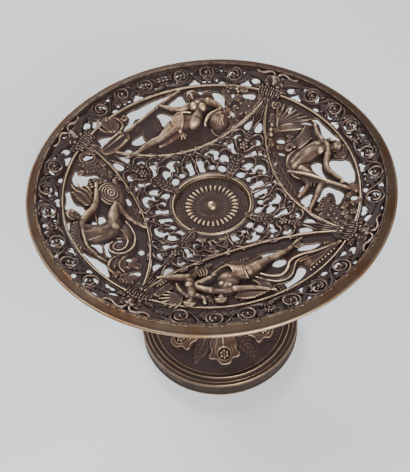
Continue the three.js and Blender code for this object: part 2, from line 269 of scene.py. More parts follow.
FINISHES = {
    "rim_bronze": bronze("rim_bronze", (0.04, 0.024, 0.018), (0.08, 0.053, 0.032), (0.36, 0.26, 0.155),
                         0.4, blush=1.5),
    "dark_bronze": bronze("dark_bronze", (0.026, 0.016, 0.015), (0.047, 0.031, 0.028), (0.3, 0.22, 0.17),
                          0.4, blush=0.3, punch=0.3),
    "figure_bronze": bronze("figure_bronze", (0.033, 0.021, 0.02), (0.09, 0.056, 0.042), (0.62, 0.47, 0.3),
                            0.44, 0.8, blush=0.6, punch=0.7),
    "polished_bronze": bronze("polished_bronze", (0.036, 0.021, 0.016), (0.085, 0.054, 0.038),
                              (0.38, 0.28, 0.18), 0.34, blush=0.2),
    "stem_bronze": bronze("stem_bronze", (0.025, 0.014, 0.011), (0.042, 0.026, 0.02), (0.25, 0.17, 0.11),
                          0.4, blush=0.3),
}
print("finishes", list(FINISHES))

# %% [markdown]
# How worn a point is follows from the shape, and so does the painted light laid over it: edges and swellings
# are rubbed and painted lighter as a highlight, grooves aren't and are painted darker as shade. The surface
# is compared with a smoothed copy of itself. What stands proud of the copy is high, and how far the
# copy is smoothed sets the size of detail that counts. Height above the dish's face adds to it, as a painted
# highlight on the tops of the relief that leaves the low ground painted darker as shade.

# %% Wear and painted light from the shape
def add_wear_and_shade(mesh, steps=10, depth=0.22, base=0.36, lift=0.0, tall=4.0):
    """Stores wear with painted shade and highlight, 0 to 1, at each vertex of a mesh in millimetres.

    depth is how far out counts as fully proud, and tall is the height that earns the whole of lift."""
    count = len(mesh.vertices)
    place = np.empty(count * 3)
    mesh.vertices.foreach_get("co", place)
    place = place.reshape(-1, 3)
    normal = np.array([v.normal for v in mesh.vertices])
    ends = np.empty(len(mesh.edges) * 2, int)
    mesh.edges.foreach_get("vertices", ends)
    a, b = ends.reshape(-1, 2).T
    share = np.maximum(np.bincount(a, minlength=count) + np.bincount(b, minlength=count), 1)
    eased = place.copy()
    for _ in range(steps):
        for axis in range(3):
            pull = np.bincount(a, eased[b, axis], count) + np.bincount(b, eased[a, axis], count)
            eased[:, axis] = pull / share
    proud = ((place - eased) * normal).sum(axis=1) / depth
    # Real wear, plus a painted highlight on proud and tall parts and painted shade in grooves and on the low
    # ground.
    wear_and_shade = base + 0.5 * proud + lift * np.clip(place[:, 2] / tall, -0.5, 1)
    store = mesh.attributes.new("wear_and_shade", "FLOAT", "POINT")
    store.data.foreach_set("value", np.clip(wear_and_shade, 0, 1).astype(np.float32))
    return wear_and_shade


# %% [markdown]
# The pierced castings could be cut from sheet, but the real ones were modelled in wax and cast. So each
# is laid out here as wax on a flat board: plates with openings, rolled strands, tapering limbs and
# pressed balls. A voxel remesh then melts them into one skin, as wax runs together, and a short smoothing
# softens it. Only the finished skin is bent to the dish.

# %% Wax tools
def handled(spline, points, radii, closed):
    """Fills a spline with smooth points, each (x, y, z)."""
    spline.bezier_points.add(len(points) - 1)
    spline.use_cyclic_u = closed
    for knot, point, radius in zip(spline.bezier_points, points, radii):
        knot.co = point
        knot.radius = radius
        knot.handle_left_type = knot.handle_right_type = "AUTO"


def spread(values, count):
    """A short row of values stretched evenly over a number of points."""
    return np.interp(np.linspace(0, 1, count), np.linspace(0, 1, len(values)), values)


class Wax:
    """Wax for one casting, in millimetres: x along, y outward, z up from the dish's face."""

    def __init__(self):
        self.shape = bmesh.new()
        self.lines, self.limbs = (bpy.data.curves.new(name, "CURVE") for name in ("lines", "limbs"))
        for curve, roundness in ((self.lines, 1), (self.limbs, 4)):
            curve.dimensions = "3D"
            curve.bevel_depth = 1.0
            curve.bevel_resolution = roundness
            curve.use_fill_caps = True

    def strand(self, points, thick, rise=(0.0,), closed=False):
        """A rolled strand. thick and rise are rows of values from its start to its end."""
        spline = self.lines.splines.new("BEZIER")
        spline.resolution_u = 4
        heights = spread(rise, len(points))
        handled(spline, [(x, y, z) for (x, y), z in zip(points, heights)], spread(thick, len(points)), closed)

    def limb(self, *joints):
        """A rounded limb through its joints, each (x, y, z, radius)."""
        spline = self.limbs.splines.new("BEZIER")
        spline.resolution_u = 6
        handled(spline, [joint[:3] for joint in joints], [joint[3] for joint in joints], False)
        for joint in (joints[0], joints[-1]):
            self.ball(*joint)

    def ball(self, x, y, z, size, turn=0.0):
        """A pressed ball. size is its radius, or its half length, half width and half height."""
        scale = Vector(size) if isinstance(size, tuple) else Vector((size, size, size))
        lay = Matrix.Translation((x, y, z)) @ Matrix.Rotation(math.radians(turn), 4, "Z")
        lay = lay @ Matrix.Diagonal(scale).to_4x4()
        bmesh.ops.create_icosphere(self.shape, subdivisions=3 if max(scale) > 1.2 else 2, radius=1,
                                   matrix=lay)

    def plate(self, outline, openings=(), top=-0.9, thick=1.5, smooth=True):
        """A flat plate with smooth openings. Its outline is smooth too, or straight between its points."""
        sheet = bpy.data.curves.new("sheet", "CURVE")
        sheet.dimensions = "2D"
        sheet.fill_mode = "BOTH"
        sheet.extrude = thick / 2
        for path in (outline, *openings):
            if smooth or path is not outline:
                spline = sheet.splines.new("BEZIER")
                spline.resolution_u = 4
                handled(spline, [(x, y, 0) for x, y in path], [1] * len(path), True)
            else:
                spline = sheet.splines.new("POLY")
                spline.points.add(len(path) - 1)
                spline.use_cyclic_u = True
                for knot, (x, y) in zip(spline.points, path):
                    knot.co = (x, y, 0, 1)
        mesh = bpy.data.meshes.new_from_object(bpy.data.objects.new("sheet", sheet))
        mesh.transform(Matrix.Translation((0, 0, top - thick / 2)))
        self.shape.from_mesh(mesh)

    def melt(self, grain=0.36, keep=0.6, back=-CAST_T, **wear_and_shade):
        """One skin of all the wax, its back pressed flat, with its wear and painted shade, thinned to a share
        of its faces.
        """
        for curve in (self.lines, self.limbs):
            self.shape.from_mesh(bpy.data.meshes.new_from_object(bpy.data.objects.new("rolled", curve)))
        loose = bpy.data.meshes.new("loose")
        self.shape.to_mesh(loose)
        self.shape.free()
        lump = bpy.data.objects.new("lump", loose)
        bpy.context.scene.collection.objects.link(lump)
        melting = lump.modifiers.new("melting", "REMESH")
        melting.mode = "VOXEL"
        melting.voxel_size = grain
        softening = lump.modifiers.new("softening", "SMOOTH")
        softening.factor = 0.5
        softening.iterations = 2
        depsgraph = bpy.context.evaluated_depsgraph_get()
        skin = bpy.data.meshes.new_from_object(lump.evaluated_get(depsgraph))
        lump.modifiers.clear()
        place = np.empty(len(skin.vertices) * 3)
        skin.vertices.foreach_get("co", place)
        place[2::3] = np.maximum(place[2::3], back)
        skin.vertices.foreach_set("co", place)
        add_wear_and_shade(skin, **wear_and_shade)
        lump.data = skin
        thinning = lump.modifiers.new("thinning", "DECIMATE")
        thinning.ratio = keep
        depsgraph = bpy.context.evaluated_depsgraph_get()
        skin = bpy.data.meshes.new_from_object(lump.evaluated_get(depsgraph))
        bpy.data.objects.remove(lump)
        return skin


# %% [markdown]
# A finished skin is bent to the bowl and turned to its place. The same skin can be laid several times,
# which is how the four quarters of the border and of the field come from one wax each. A piece hides
# the plain solids of the imported model that it stands for, is hung on the root and takes its finish.

# %% Laying a casting
def show(mesh, name, slot, *stands_for):
    """Makes a mesh in metres a piece of the object."""
    mesh.name = name
    mesh.materials.clear()
    mesh.materials.append(FINISHES[slot])
    mesh.shade_smooth()
    piece = bpy.data.objects.new(name, mesh)
    bpy.context.scene.collection.objects.link(piece)
    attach(piece, "root")
    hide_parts(*stands_for)
    return piece


def lay(skin, name, slot, turn, *stands_for, level=None):
    """Bends a copy of a skin to the dish, or sets it at a level, with its y axis turned to a heading."""
    mesh = skin.copy()
    place = np.empty(len(mesh.vertices) * 3)
    mesh.vertices.foreach_get("co", place)
    place = place.reshape(-1, 3)
    x, y = place[:, 0].copy(), place[:, 1].copy()
    place[:, 2] += dish_height(np.hypot(x, y)) if level is None else level
    out = math.radians(turn)
    place[:, 0] = x * math.sin(out) + y * math.cos(out)
    place[:, 1] = y * math.sin(out) - x * math.cos(out)
    mesh.vertices.foreach_set("co", (place * MM).ravel())
    mesh.update()
    piece = show(mesh, name, slot, *stands_for)
    print(name, "has", sum(len(p.vertices) - 2 for p in mesh.polygons), "triangles")
    return piece


# %% [markdown]
# The ornament repeats a few forms of the period: scrolls that wind into an eye, acanthus leaves, fans of
# petals and small rosettes. Each form is a short function that rolls its strands into a given wax. A
# leaf's lobe is drawn once, as steps along the leaf and out from it, and every lobe is that one, resized.

# %% Ornament forms
def on_ring(turn, away):
    """A point at an angle from the y axis, in degrees, clockwise seen from above."""
    return away * math.sin(math.radians(turn)), away * math.cos(math.radians(turn))


def full_turn(count):
    """Angles spread evenly over a full turn, in radians."""
    return np.linspace(0, 2 * math.pi, count + 1)[:-1]


def both(points):
    """A line and its mirror image."""
    return points, [(-x, y) for x, y in points]


def winding(x, y, size, turns, start, way=1, eye=0.16):
    """Points of a scroll from its outer end in to its eye."""
    steps = max(6, round(turns * 9))
    line = []
    for i in range(steps + 1):
        t = i / steps
        angle = math.radians(start) + way * t * turns * 2 * math.pi
        away = size * (1 - (1 - eye) * t)
        line.append((x + away * math.cos(angle), y + away * math.sin(angle)))
    return line


LOBE = ((0, 0), (0.2, 0.5), (0.6, 0.86), (1.1, 0.84))


def leaf(wax, root, tip, width, lobes=4, rise=0.4, curl=0.0, thick=0.6, web=True):
    """An acanthus leaf: a rib, and lobes that fan out from it and shrink towards the tip."""
    root, tip = np.array(root, float), np.array(tip, float)
    length = np.linalg.norm(tip - root)
    ahead_of = (tip - root) / length
    aside = np.array((-ahead_of[1], ahead_of[0]))
    bow = (root + tip) / 2 + aside * curl

    def rib(t):
        return (1 - t) ** 2 * root + 2 * t * (1 - t) * bow + t * t * tip

    wax.strand([tuple(rib(t)) for t in (0, 0.3, 0.65, 1)], (thick * 1.1, thick * 0.8, thick * 0.5),
               (rise + 0.1, rise + 0.5, rise - 0.2))
    for i in range(lobes):
        t = 0.04 + 0.8 * i / lobes
        size = width * math.sin(math.pi * (0.3 + 0.62 * t))
        run = rib(t + 0.1) - rib(t)
        run /= np.linalg.norm(run)
        for side in (-1, 1):
            out = side * np.array((-run[1], run[0]))
            path = [rib(t) + size * (a * run + b * out) for a, b in LOBE]
            wax.strand([tuple(p) for p in path], (thick * 0.6, thick * 0.85, thick * 0.75, thick * 0.35),
                       (rise, rise + 0.3, rise, rise - 0.7))
    if web:
        middle = rib(0.45)
        turn = math.degrees(math.atan2(ahead_of[1], ahead_of[0]))
        wax.ball(*middle, rise - 0.9, (length * 0.5, width * 0.85, 1.1), turn)


def hook(wax, *points, thick=0.9, rise=0.1):
    """A smooth blade that swells in the middle and ends in a curled tip, with a ridge along it."""
    wax.strand(points, (thick * 0.6, thick, thick * 0.9, 0.3), (rise - 0.3, rise, rise - 0.2))
    wax.strand(points, (0.25, 0.36, 0.25), (rise - 0.3 + thick * 0.6, rise + thick * 0.95, rise))


def fan(wax, x, y, size, heading_to, sweep, count, rise=0.4, thick=0.7, hollow=0.2):
    """A fan of petals, as in a palmette or a shell."""
    for i in range(count):
        angle = math.radians(heading_to + sweep * (i / (count - 1) - 0.5))
        run = np.array((math.cos(angle), math.sin(angle)))
        path = [np.array((x, y)) + run * size * t for t in (hollow, 0.6, 1)]
        wax.strand([tuple(p) for p in path], (thick * 0.5, thick, thick * 0.8), (rise, rise + 0.5, rise))


def leaves(wax, rows, rise=0.3, thick=0.6):
    """Several leaves, each (root, tip, width, lobes), with its curl after them if it has one."""
    for root, tip, width, lobes, *curl in rows:
        leaf(wax, root, tip, width, lobes, rise, *curl, thick=thick)


def rosette(wax, x, y, size, petals=6, rise=0.6):
    """A small flower of round petals about a boss."""
    for i in range(petals):
        angle = 2 * math.pi * i / petals
        wax.ball(x + size * 0.62 * math.cos(angle), y + size * 0.62 * math.sin(angle), rise,
                 (size * 0.4, size * 0.3, 0.7), math.degrees(angle))
    wax.ball(x, y, rise + 0.5, size * 0.3)


print("forms", [form.__name__ for form in (leaf, hook, fan, leaves, rosette)])

# %% [markdown]
# Plain turned parts come from a lathe: an outline is spun round the axis. The outline's corners are eased
# and its points spaced evenly, so that the wear and the painted shade and highlight are judged alike all
# along it.

# %% Lathe
def eased(outline, fillet, spacing, closed=True):
    """The outline with rounded corners, as evenly spaced points."""
    corner = [np.array(p, float) for p in outline]
    count = len(corner)
    line = []
    for i, here in enumerate(corner):
        if not closed and i in (0, count - 1):
            line.append(here)
            continue
        before, after = corner[i - 1] - here, corner[(i + 1) % count] - here
        cut = min(fillet, np.linalg.norm(before) * 0.45, np.linalg.norm(after) * 0.45)
        start = here + before / np.linalg.norm(before) * cut
        end = here + after / np.linalg.norm(after) * cut
        line += [(1 - t) ** 2 * start + 2 * t * (1 - t) * here + t * t * end for t in (0, 0.25, 0.5, 0.75, 1)]
    if closed:
        line.append(line[0])
    line = np.array(line)
    run = np.concatenate([[0], np.cumsum(np.linalg.norm(np.diff(line, axis=0), axis=1))])
    even = np.linspace(0, run[-1], max(8, round(run[-1] / spacing)) + 1)
    even = even[:-1] if closed else even
    return [(np.interp(s, run, line[:, 0]), np.interp(s, run, line[:, 1])) for s in even]


def lathe(outline, fillet=0.4, spacing=0.5, steps=180, closed=True, **wear_and_shade):
    """A turned mesh in millimetres from an outline of (radius, level) points."""
    shape = bmesh.new()
    points = eased(outline, fillet, spacing, closed)
    ring = [shape.verts.new((r, 0, z)) for r, z in points]
    pairs = list(zip(ring, ring[1:])) + ([(ring[-1], ring[0])] if closed else [])
    edges = [shape.edges.new(pair) for pair in pairs]
    bmesh.ops.spin(shape, geom=ring + edges, cent=(0, 0, 0), axis=(0, 0, 1), angle=2 * math.pi, steps=steps,
                   use_merge=True)
    bmesh.ops.remove_doubles(shape, verts=shape.verts, dist=1e-4)
    bmesh.ops.recalc_face_normals(shape, faces=shape.faces)
    mesh = bpy.data.meshes.new("turned")
    shape.to_mesh(mesh)
    shape.free()
    add_wear_and_shade(mesh, **wear_and_shade)
    return mesh


def stand(mesh, name, slot, *stands_for):
    """Shows a mesh that was made in its own place, in millimetres."""
    mesh.transform(Matrix.Scale(MM, 4))
    piece = show(mesh, name, slot, *stands_for)
    print(name, "has", sum(len(p.vertices) - 2 for p in mesh.polygons), "triangles")
    return piece


# %% [markdown]
# The rim is a plain rolled band. Hands carry the dish by it, so its outer edge is rubbed to bright metal,
# with a painted highlight on it, while its face stays brown.

# %% Rim band
rim_low, rim_high = levels("rim_band")
rim_face = rim_high - 1.2
band = lathe([
    (rim_in, rim_low + 1.2),
    (rim_out - 0.8, rim_low),
    (rim_out, rim_low + 0.8),
    (rim_out, rim_face - 0.5),
    (rim_out - 0.5, rim_face),
    (rim_out - 1.3, rim_face - 0.05),
    (rim_out - 1.7, rim_face - 0.25),
    (rim_in + 1.2, rim_high - 0.25),
    (rim_in + 0.3, rim_high),
    (rim_in, rim_high - 0.5),
], fillet=0.5, spacing=0.35, steps=220, depth=0.22, base=0.34)
stand(band, "rim_band_turned", "rim_bronze", "rim_band")

# %% [markdown]
# Round the panels runs a raised rib, in four arcs, and each panel's inner side is closed by a strap that
# bows towards the middle. Both stand well above the pierced work, so the side that faces the light shows
# as a dark wall under a bright line. A strand gives the rounded top, and a plate under it gives the wall.

# %% Frame arcs and straps
RIB_WALL = 0.65
RIB_BEAD = 0.8
KNOT_GAP = 3.2
FRAME = (frame_in + frame_out) / 2
STRAP = strap_in + RIB / 2
KNOT_X = FRAME * math.sin(math.radians(45))
bow_in = KNOT_X - STRAP
STRAP_R = (KNOT_X ** 2 + bow_in ** 2) / (2 * bow_in)
STRAP_Y = STRAP + STRAP_R


def ring_arc(away, turn, steps=24):
    """Points on a circle about the dish's middle, from -turn to turn."""
    return [on_ring(a, away) for a in np.linspace(-turn, turn, steps)]


def strap_arc(grow, steps=24, share=1.0):
    """Points on the strap's circle, grown or shrunk, from knot to knot."""
    away = STRAP_R + grow
    half = math.asin(min(1, KNOT_X / away)) * share
    return [(away * math.sin(a), STRAP_Y - away * math.cos(a)) for a in np.linspace(-half, half, steps)]


def rib(middle_line, inner, outer):
    """The skin of a rib: a plate between two lines, with a rounded strand along its middle."""
    wax = Wax()
    wax.plate(inner + outer[::-1], top=0.2, thick=2.6, smooth=False)
    wax.strand(middle_line, (RIB_BEAD,), (0.2,))
    # The rounded top is painted lighter as a highlight, and the wall darker as shade.
    return wax.melt(0.4, depth=0.3, lift=0.4, tall=1.2, base=0.12)


for name, turn in PANELS.items():
    frame_rib = rib(*(ring_arc(FRAME + grow, 45 - KNOT_GAP) for grow in (0, -RIB_WALL, RIB_WALL)))
    lay(frame_rib, f"frame_rib_{name}", "polished_bronze", turn, f"frame_arc_{name}")
    strap_rib = rib(*(strap_arc(grow, share=0.93) for grow in (0, -RIB_WALL, RIB_WALL)))
    lay(strap_rib, f"strap_rib_{name}", "polished_bronze", turn, f"strap_arc_{name}")

# %% [markdown]
# The scroll border is a frieze of six scrolls to a quarter, three each side of a sprig. A wave-shaped stem
# runs under the first, over the second and under the third. At the knot it meets a wing of long feathers,
# which belongs to the mask there. Openings pierce the plate between them.
# One half is drawn in (degrees from the middle, distance from the axis), and laid in twice,
# mirrored.

# %% Border: what is drawn
SCROLLS = ((7.2, 97.3, 5.7), (17.3, 97.9, 5.4), (28.4, 96.8, 5.8))
BORDER_OPENINGS = (
    ((10.0, 91.5), (12.4, 91.2), (14.6, 91.5), (13.2, 94.2), (12.4, 95.4), (11.6, 94.2)),
    ((31.4, 91.4), (33.7, 91.1), (36.2, 91.5), (34.8, 94.2), (34.0, 95.6), (33.2, 94.2)),
    ((22.4, 91.7), (25.0, 91.7), (23.8, 93.4)),
    ((35.6, 96.6), (36.6, 93.8), (39.0, 94.6), (38.1, 97.6)),
    ((5.0, 95.9), (5.6, 94.2), (7.2, 93.3), (8.8, 94.2), (9.7, 96.0), (7.3, 95.2)),
    ((5.0, 98.9), (5.8, 100.4), (7.3, 101.0), (8.8, 100.4), (9.6, 98.9), (7.3, 99.4)),
    ((15.0, 97.2), (16.1, 95.4), (18.5, 95.4), (19.7, 97.2), (17.3, 96.5)),
    ((15.3, 93.0), (17.2, 92.2), (19.1, 92.9), (17.3, 93.9)),
    ((20.6, 94.4), (21.4, 92.5), (21.9, 94.8), (21.2, 96.4)),
    ((25.6, 96.0), (25.9, 98.9), (27.7, 100.9), (27.0, 98.6)),
    ((26.7, 93.4), (28.6, 92.6), (30.7, 93.6), (28.6, 94.6)),
    ((31.6, 99.8), (32.0, 102.0), (33.6, 101.6), (33.2, 99.2)),
    ((0.8, 99.5), (0.9, 101.5), (2.5, 101.3), (2.5, 99.3)),
    ((3.2, 93.7), (3.6, 95.5), (4.3, 94.6)),
    ((11.7, 99.1), (11.7, 101.8), (13.3, 102.0), (13.4, 99.4)),
    ((21.4, 99.9), (21.9, 102.0), (23.6, 101.4), (23.1, 99.6)),
)
WAVE = ((0.8, 92.9), (3.6, 92.0), (7.2, 91.9), (10.7, 94.2), (12.3, 97.6), (13.6, 100.9), (17.3, 102.7),
        (21.2, 101.6), (23.2, 97.6), (25.2, 93.6), (28.4, 91.7), (32.4, 93.1), (34.2, 96.0))
BORDER_IN = frame_out - 0.4
BORDER_OUT = rim_in + 1.0
BORDER_END = 41.9
WING_FEATHERS = 9
BORDER_LEAVES = (
    ((41.2, 92.2), (37.4, 91.8), 1.6, 3), ((30.4, 101.8), (34.6, 98.0), 1.6, 3),
    ((2.6, 98.4), (4.0, 102.4), 1.7, 3), ((12.0, 99.0), (9.4, 102.6), 1.8, 3),
    ((24.2, 99.2), (26.6, 102.6), 1.9, 3), ((12.8, 95.6), (16.0, 92.2), 1.6, 3),
    ((22.2, 95.6), (19.2, 92.2), 1.7, 3), ((22.6, 100.2), (19.8, 103.0), 1.5, 3),
    ((33.6, 97.4), (36.2, 93.4), 1.8, 3),
)


# %% Border: one quarter
def around(points, hand=1):
    """Points in (degrees, distance), on one hand of the middle or the other."""
    return [on_ring(hand * turn, away) for turn, away in points]


def border_scroll(wax, hand, i, turn, away, size):
    """A scroll round a small flower, and the leaves that spring from its outside."""
    x, y = on_ring(hand * turn, away)
    start = 250 if i % 2 else 110
    start = start if hand > 0 else 180 - start
    way = hand if i % 2 else -hand
    wax.strand(winding(x, y, size, 1.45, start, way, 0.46), (1.05, 0.85, 0.55), (0.2, 0.8, 0.7))
    rosette(wax, x, y, size * 0.42, 6, 0.3)
    wax.ball(x, y, 1.2, 0.9)
    for step in range(3):
        lean = math.radians(start + way * (60 + 75 * step))
        root = (x + size * math.cos(lean), y + size * math.sin(lean))
        reach_out = size * 1.42
        tip = (x + reach_out * math.cos(lean + way * 0.45), y + reach_out * math.sin(lean + way * 0.45))
        if BORDER_IN + 1.2 < math.hypot(*tip) < rim_in - 1.0:
            leaf(wax, root, tip, 2.0, 3, 0.2, thick=0.7, web=False)


def border_wing(wax, hand):
    """Long feathers that run back from the knot."""
    for i in range(WING_FEATHERS):
        t = i / (WING_FEATHERS - 1)
        end = (37.4 - 5.6 * math.sin(math.pi * (0.1 + 0.8 * t)), 98.2 + 4.2 * t)
        feather = around(((42.2, 93.6 + 6.4 * t), (39.6, 95.8 + 5.4 * t), end), hand)
        hook(wax, *feather, thick=0.75, rise=0.2 + 0.3 * (i % 2))


def border_quarter():
    """The skin of a quarter of the border."""
    wax = Wax()
    outline = ring_arc(BORDER_IN, BORDER_END, 40) + ring_arc(BORDER_OUT, BORDER_END, 40)[::-1]
    openings = [around(points, hand) for hand in (-1, 1) for points in BORDER_OPENINGS]
    wax.plate(outline, openings, smooth=False)
    for edge in (BORDER_IN + 0.4, rim_in - 0.4):
        wax.strand(ring_arc(edge, BORDER_END, 30), (0.55,), (-0.6,))
    wax.strand(ring_arc(rim_in + 0.4, BORDER_END, 30), (1.0,), (-0.2,))
    for hand in (-1, 1):
        wax.strand(around(WAVE, hand), (1.1, 0.8, 1.0, 0.8, 0.9), (0.3,))
        for i, (turn, away, size) in enumerate(SCROLLS):
            border_scroll(wax, hand, i, turn, away, size)
        for root, tip, width, lobes in BORDER_LEAVES:
            leaf(wax, *around((root, tip), hand), width, lobes, 0.3, thick=0.62, web=False)
        border_wing(wax, hand)
        leaf(wax, on_ring(hand * 12.2, 97.0), on_ring(hand * 13.4, 94.9), 1.3, 2, 0.0, thick=0.4, web=False)
        leaf(wax, on_ring(hand * 23.4, 98.0), on_ring(hand * 22.3, 94.2), 1.6, 3, 0.0, thick=0.45, web=False)
    fan(wax, *on_ring(0, 91.6), 4.4, 90, 120, 5, 0.4, 0.55)
    fan(wax, *on_ring(0, 96.6), 4.2, 90, 170, 7, 0.4, 0.5)
    wax.ball(*on_ring(0, 96.6), 0.6, 1.1)
    wax.strand(around(((-3.4, 96.6), (-1.4, 98.2), (0, 97.0), (1.4, 98.2), (3.4, 96.6))), (0.45,), (0.4,))
    return wax.melt(0.33, depth=0.27, lift=0.28, tall=1.8, base=0.14)


border = border_quarter()
for name, turn in PANELS.items():
    lay(border, f"border_{name}", "dark_bronze", turn, "scroll_border")

# %% [markdown]
# Where the border meets the rim, a fringe of small leaf tips laps over the band. The tips swell and shrink
# along it, and the smallest are left out, so that it doesn't look machined. Repeated this often, each tip
# is only a short strand, and a whole quarter of them is melted together.

# %% Fringe on the rim
FRINGE_TIPS = 26


def fringe_quarter():
    """The skin of a quarter of the fringe."""
    wax = Wax()
    wax.strand(ring_arc(rim_in + 0.2, 44.8, 40), (0.5,), (0.0,))
    for i in range(FRINGE_TIPS):
        turn = (i + 0.5) / FRINGE_TIPS * 90 - 45
        big = 0.5 + 0.5 * math.sin(1.9 * i)
        if big < 0.3:
            continue
        tip = around(((turn - 1.0, rim_in), (turn - 0.7, rim_in + 0.9 + 0.4 * big),
                      (turn, rim_in + 1.3 + 0.5 * big), (turn + 0.7, rim_in + 0.9 + 0.4 * big),
                      (turn + 1.0, rim_in)))
        wax.strand(tip, (0.32, 0.4, 0.32), (0.0, 0.1, 0.0))
        wax.ball(*on_ring(turn, rim_in + 0.5), 0.0, 0.42)
    return wax.melt(0.28, back=-0.25, depth=0.2, base=0.16)


fringe = fringe_quarter()
for name, turn in PANELS.items():
    lay(fringe, f"fringe_{name}", "dark_bronze", turn, "rim_band", level=rim_high + 0.1)

# %% [markdown]
# Between the straps and the medallion lies the arabesque field, the same in every quarter. It is built
# about the direction of a knot: a leaf, pairs of openings like bats' wings, a flower, and a ridged wedge
# that runs up to the knot. The openings have rolled edges, as if pressed with a finger, and smooth hooked
# blades sweep between them and hang their tips over them. One side is drawn, and laid in twice.

# %% Field: what is drawn
FIELD_IN = medal_out - 0.5
FIELD_END = 43.8
FIELD_OPENINGS = [
    [(3.6, 27.4), (3.9, 29.6), (6.2, 31.0), (9.2, 30.2), (9.4, 27.6), (7.0, 26.2)],
    [(4.8, 33.4), (5.6, 36.6), (8.4, 38.6), (10.8, 38.2), (12.0, 35.0), (13.2, 38.4), (16.4, 39.2),
     (20.2, 36.6), (21.4, 33.0), (18.2, 32.4), (15.6, 34.0), (13.4, 31.8), (11.4, 33.8), (8.6, 32.6),
     (6.4, 34.0)],
    [(2.6, 38.2), (2.6, 42.0), (5.4, 44.2), (7.6, 47.8), (11.0, 48.0), (13.8, 45.2), (11.0, 44.4),
     (8.8, 42.4), (6.0, 41.6), (4.4, 39.2)],
    [(4.2, 51.6), (4.8, 55.0), (7.8, 54.8), (9.4, 51.6), (6.8, 50.6)],
    [(1.5, 60.0), (2.5, 67.4), (4.2, 66.4), (6.2, 61.0), (3.8, 59.2)],
    [(9.4, 56.8), (9.6, 59.8), (11.4, 56.8)],
    [(15.6, 44.4), (15.8, 47.0), (18.0, 43.6)],
    [(11.2, 26.0), (11.4, 28.6), (14.4, 28.6), (14.2, 25.2)],
    around([(33.0, 27.2), (35.4, 29.8), (34.0, 32.8), (36.6, 36.0), (39.4, 38.4), (42.2, 37.4), (42.5, 33),
            (42.2, 29.5), (41.4, 27.2), (37, 26.7)]),
    around([(37.6, 40.4), (40.0, 41.8), (42.0, 40.6), (40.0, 39.6)]),
]
FIELD_HOOKS = (
    ((0.6, 41.6), (3.8, 39.8), (8.6, 41.2), (12.2, 39.2), (12.0, 35.6)),
    ((14.0, 42.4), (18.4, 41.2), (22.0, 37.2), (22.6, 32.6), (19.6, 31.0)),
    ((3.4, 31.8), (7.2, 31.4), (10.0, 32.2), (11.2, 35.2)),
    ((10.4, 29.8), (13.0, 30.0), (15.2, 31.8), (15.4, 35.0)),
    ((16.0, 28.6), (18.6, 30.2), (22.6, 30.8), (26.2, 31.4), (27.0, 34.0)),
    ((1.6, 43.6), (4.2, 45.4), (6.6, 48.8), (11.4, 49.4), (15.4, 46.2), (14.0, 43.4)),
    ((14.2, 42.6), (10.4, 43.2), (8.0, 41.4), (6.8, 44.0)),
    ((0.8, 52.4), (2.6, 55.4), (5.2, 57.0), (9.0, 56.2), (10.8, 52.6), (8.8, 50.2)),
    ((1.0, 57.0), (0.9, 61.0), (1.9, 66.0), (3.0, 70.0)),
    ((10.4, 57.2), (8.0, 61.0), (5.8, 65.4), (4.0, 70.6)),
    ((17.4, 42.4), (16.8, 47.4), (14.2, 51.6), (11.4, 51.6)),
    ((24.2, 32.4), (22.6, 37.4), (19.2, 41.0), (17.4, 46.6)),
    ((15.2, 48.4), (12.6, 54.2), (11.2, 58.4), (8.2, 60.8)),
    ((1.6, 24.8), (2.6, 28.6), (3.4, 32.0), (2.8, 36.6)),
    ((10.2, 25.4), (9.8, 28.2), (10.2, 30.0), (8.6, 32.0)),
    ((14.6, 24.2), (15.0, 27.6), (17.6, 28.4), (18.6, 25.6)),
)
FIELD_LEAVES = (
    ((4.6, 36.6), (1.6, 39.6), 1.8, 3), ((17.4, 31.4), (17.8, 35.6), 2.0, 3),
    ((9.6, 43.6), (13.6, 40.8), 1.8, 3), ((12.4, 49.4), (8.8, 45.8), 2.2, 3),
    ((3.8, 49.8), (6.6, 53.6), 1.6, 3), ((20.6, 38.6), (25.0, 35.4), 1.9, 4),
    ((15.6, 50.2), (18.0, 45.8), 1.4, 3), ((12.6, 56.4), (9.0, 61.6), 1.4, 3),
    ((24.6, 29.8), (22.2, 26.8), 1.9, 3), ((26.6, 33.0), (28.2, 35.8), 1.2, 3),
)
SEAM_STEM = ((45.6, 25.4), (43.9, 28.6), (45.9, 32.6), (44.6, 37.2), (45.4, 43.0))


# %% Field: one quarter
def field_edge(grow):
    """The strap's side that bounds a quarter of the field, from the knot to the panel's middle."""
    lean = math.sqrt(0.5)
    side = [(lean * (x + y), lean * (y - x)) for x, y in strap_arc(grow, 70, 0.995) if x <= 0]
    return [(x, y) for x, y in side if x > 1.6 and math.degrees(math.atan2(x, y)) < FIELD_END]


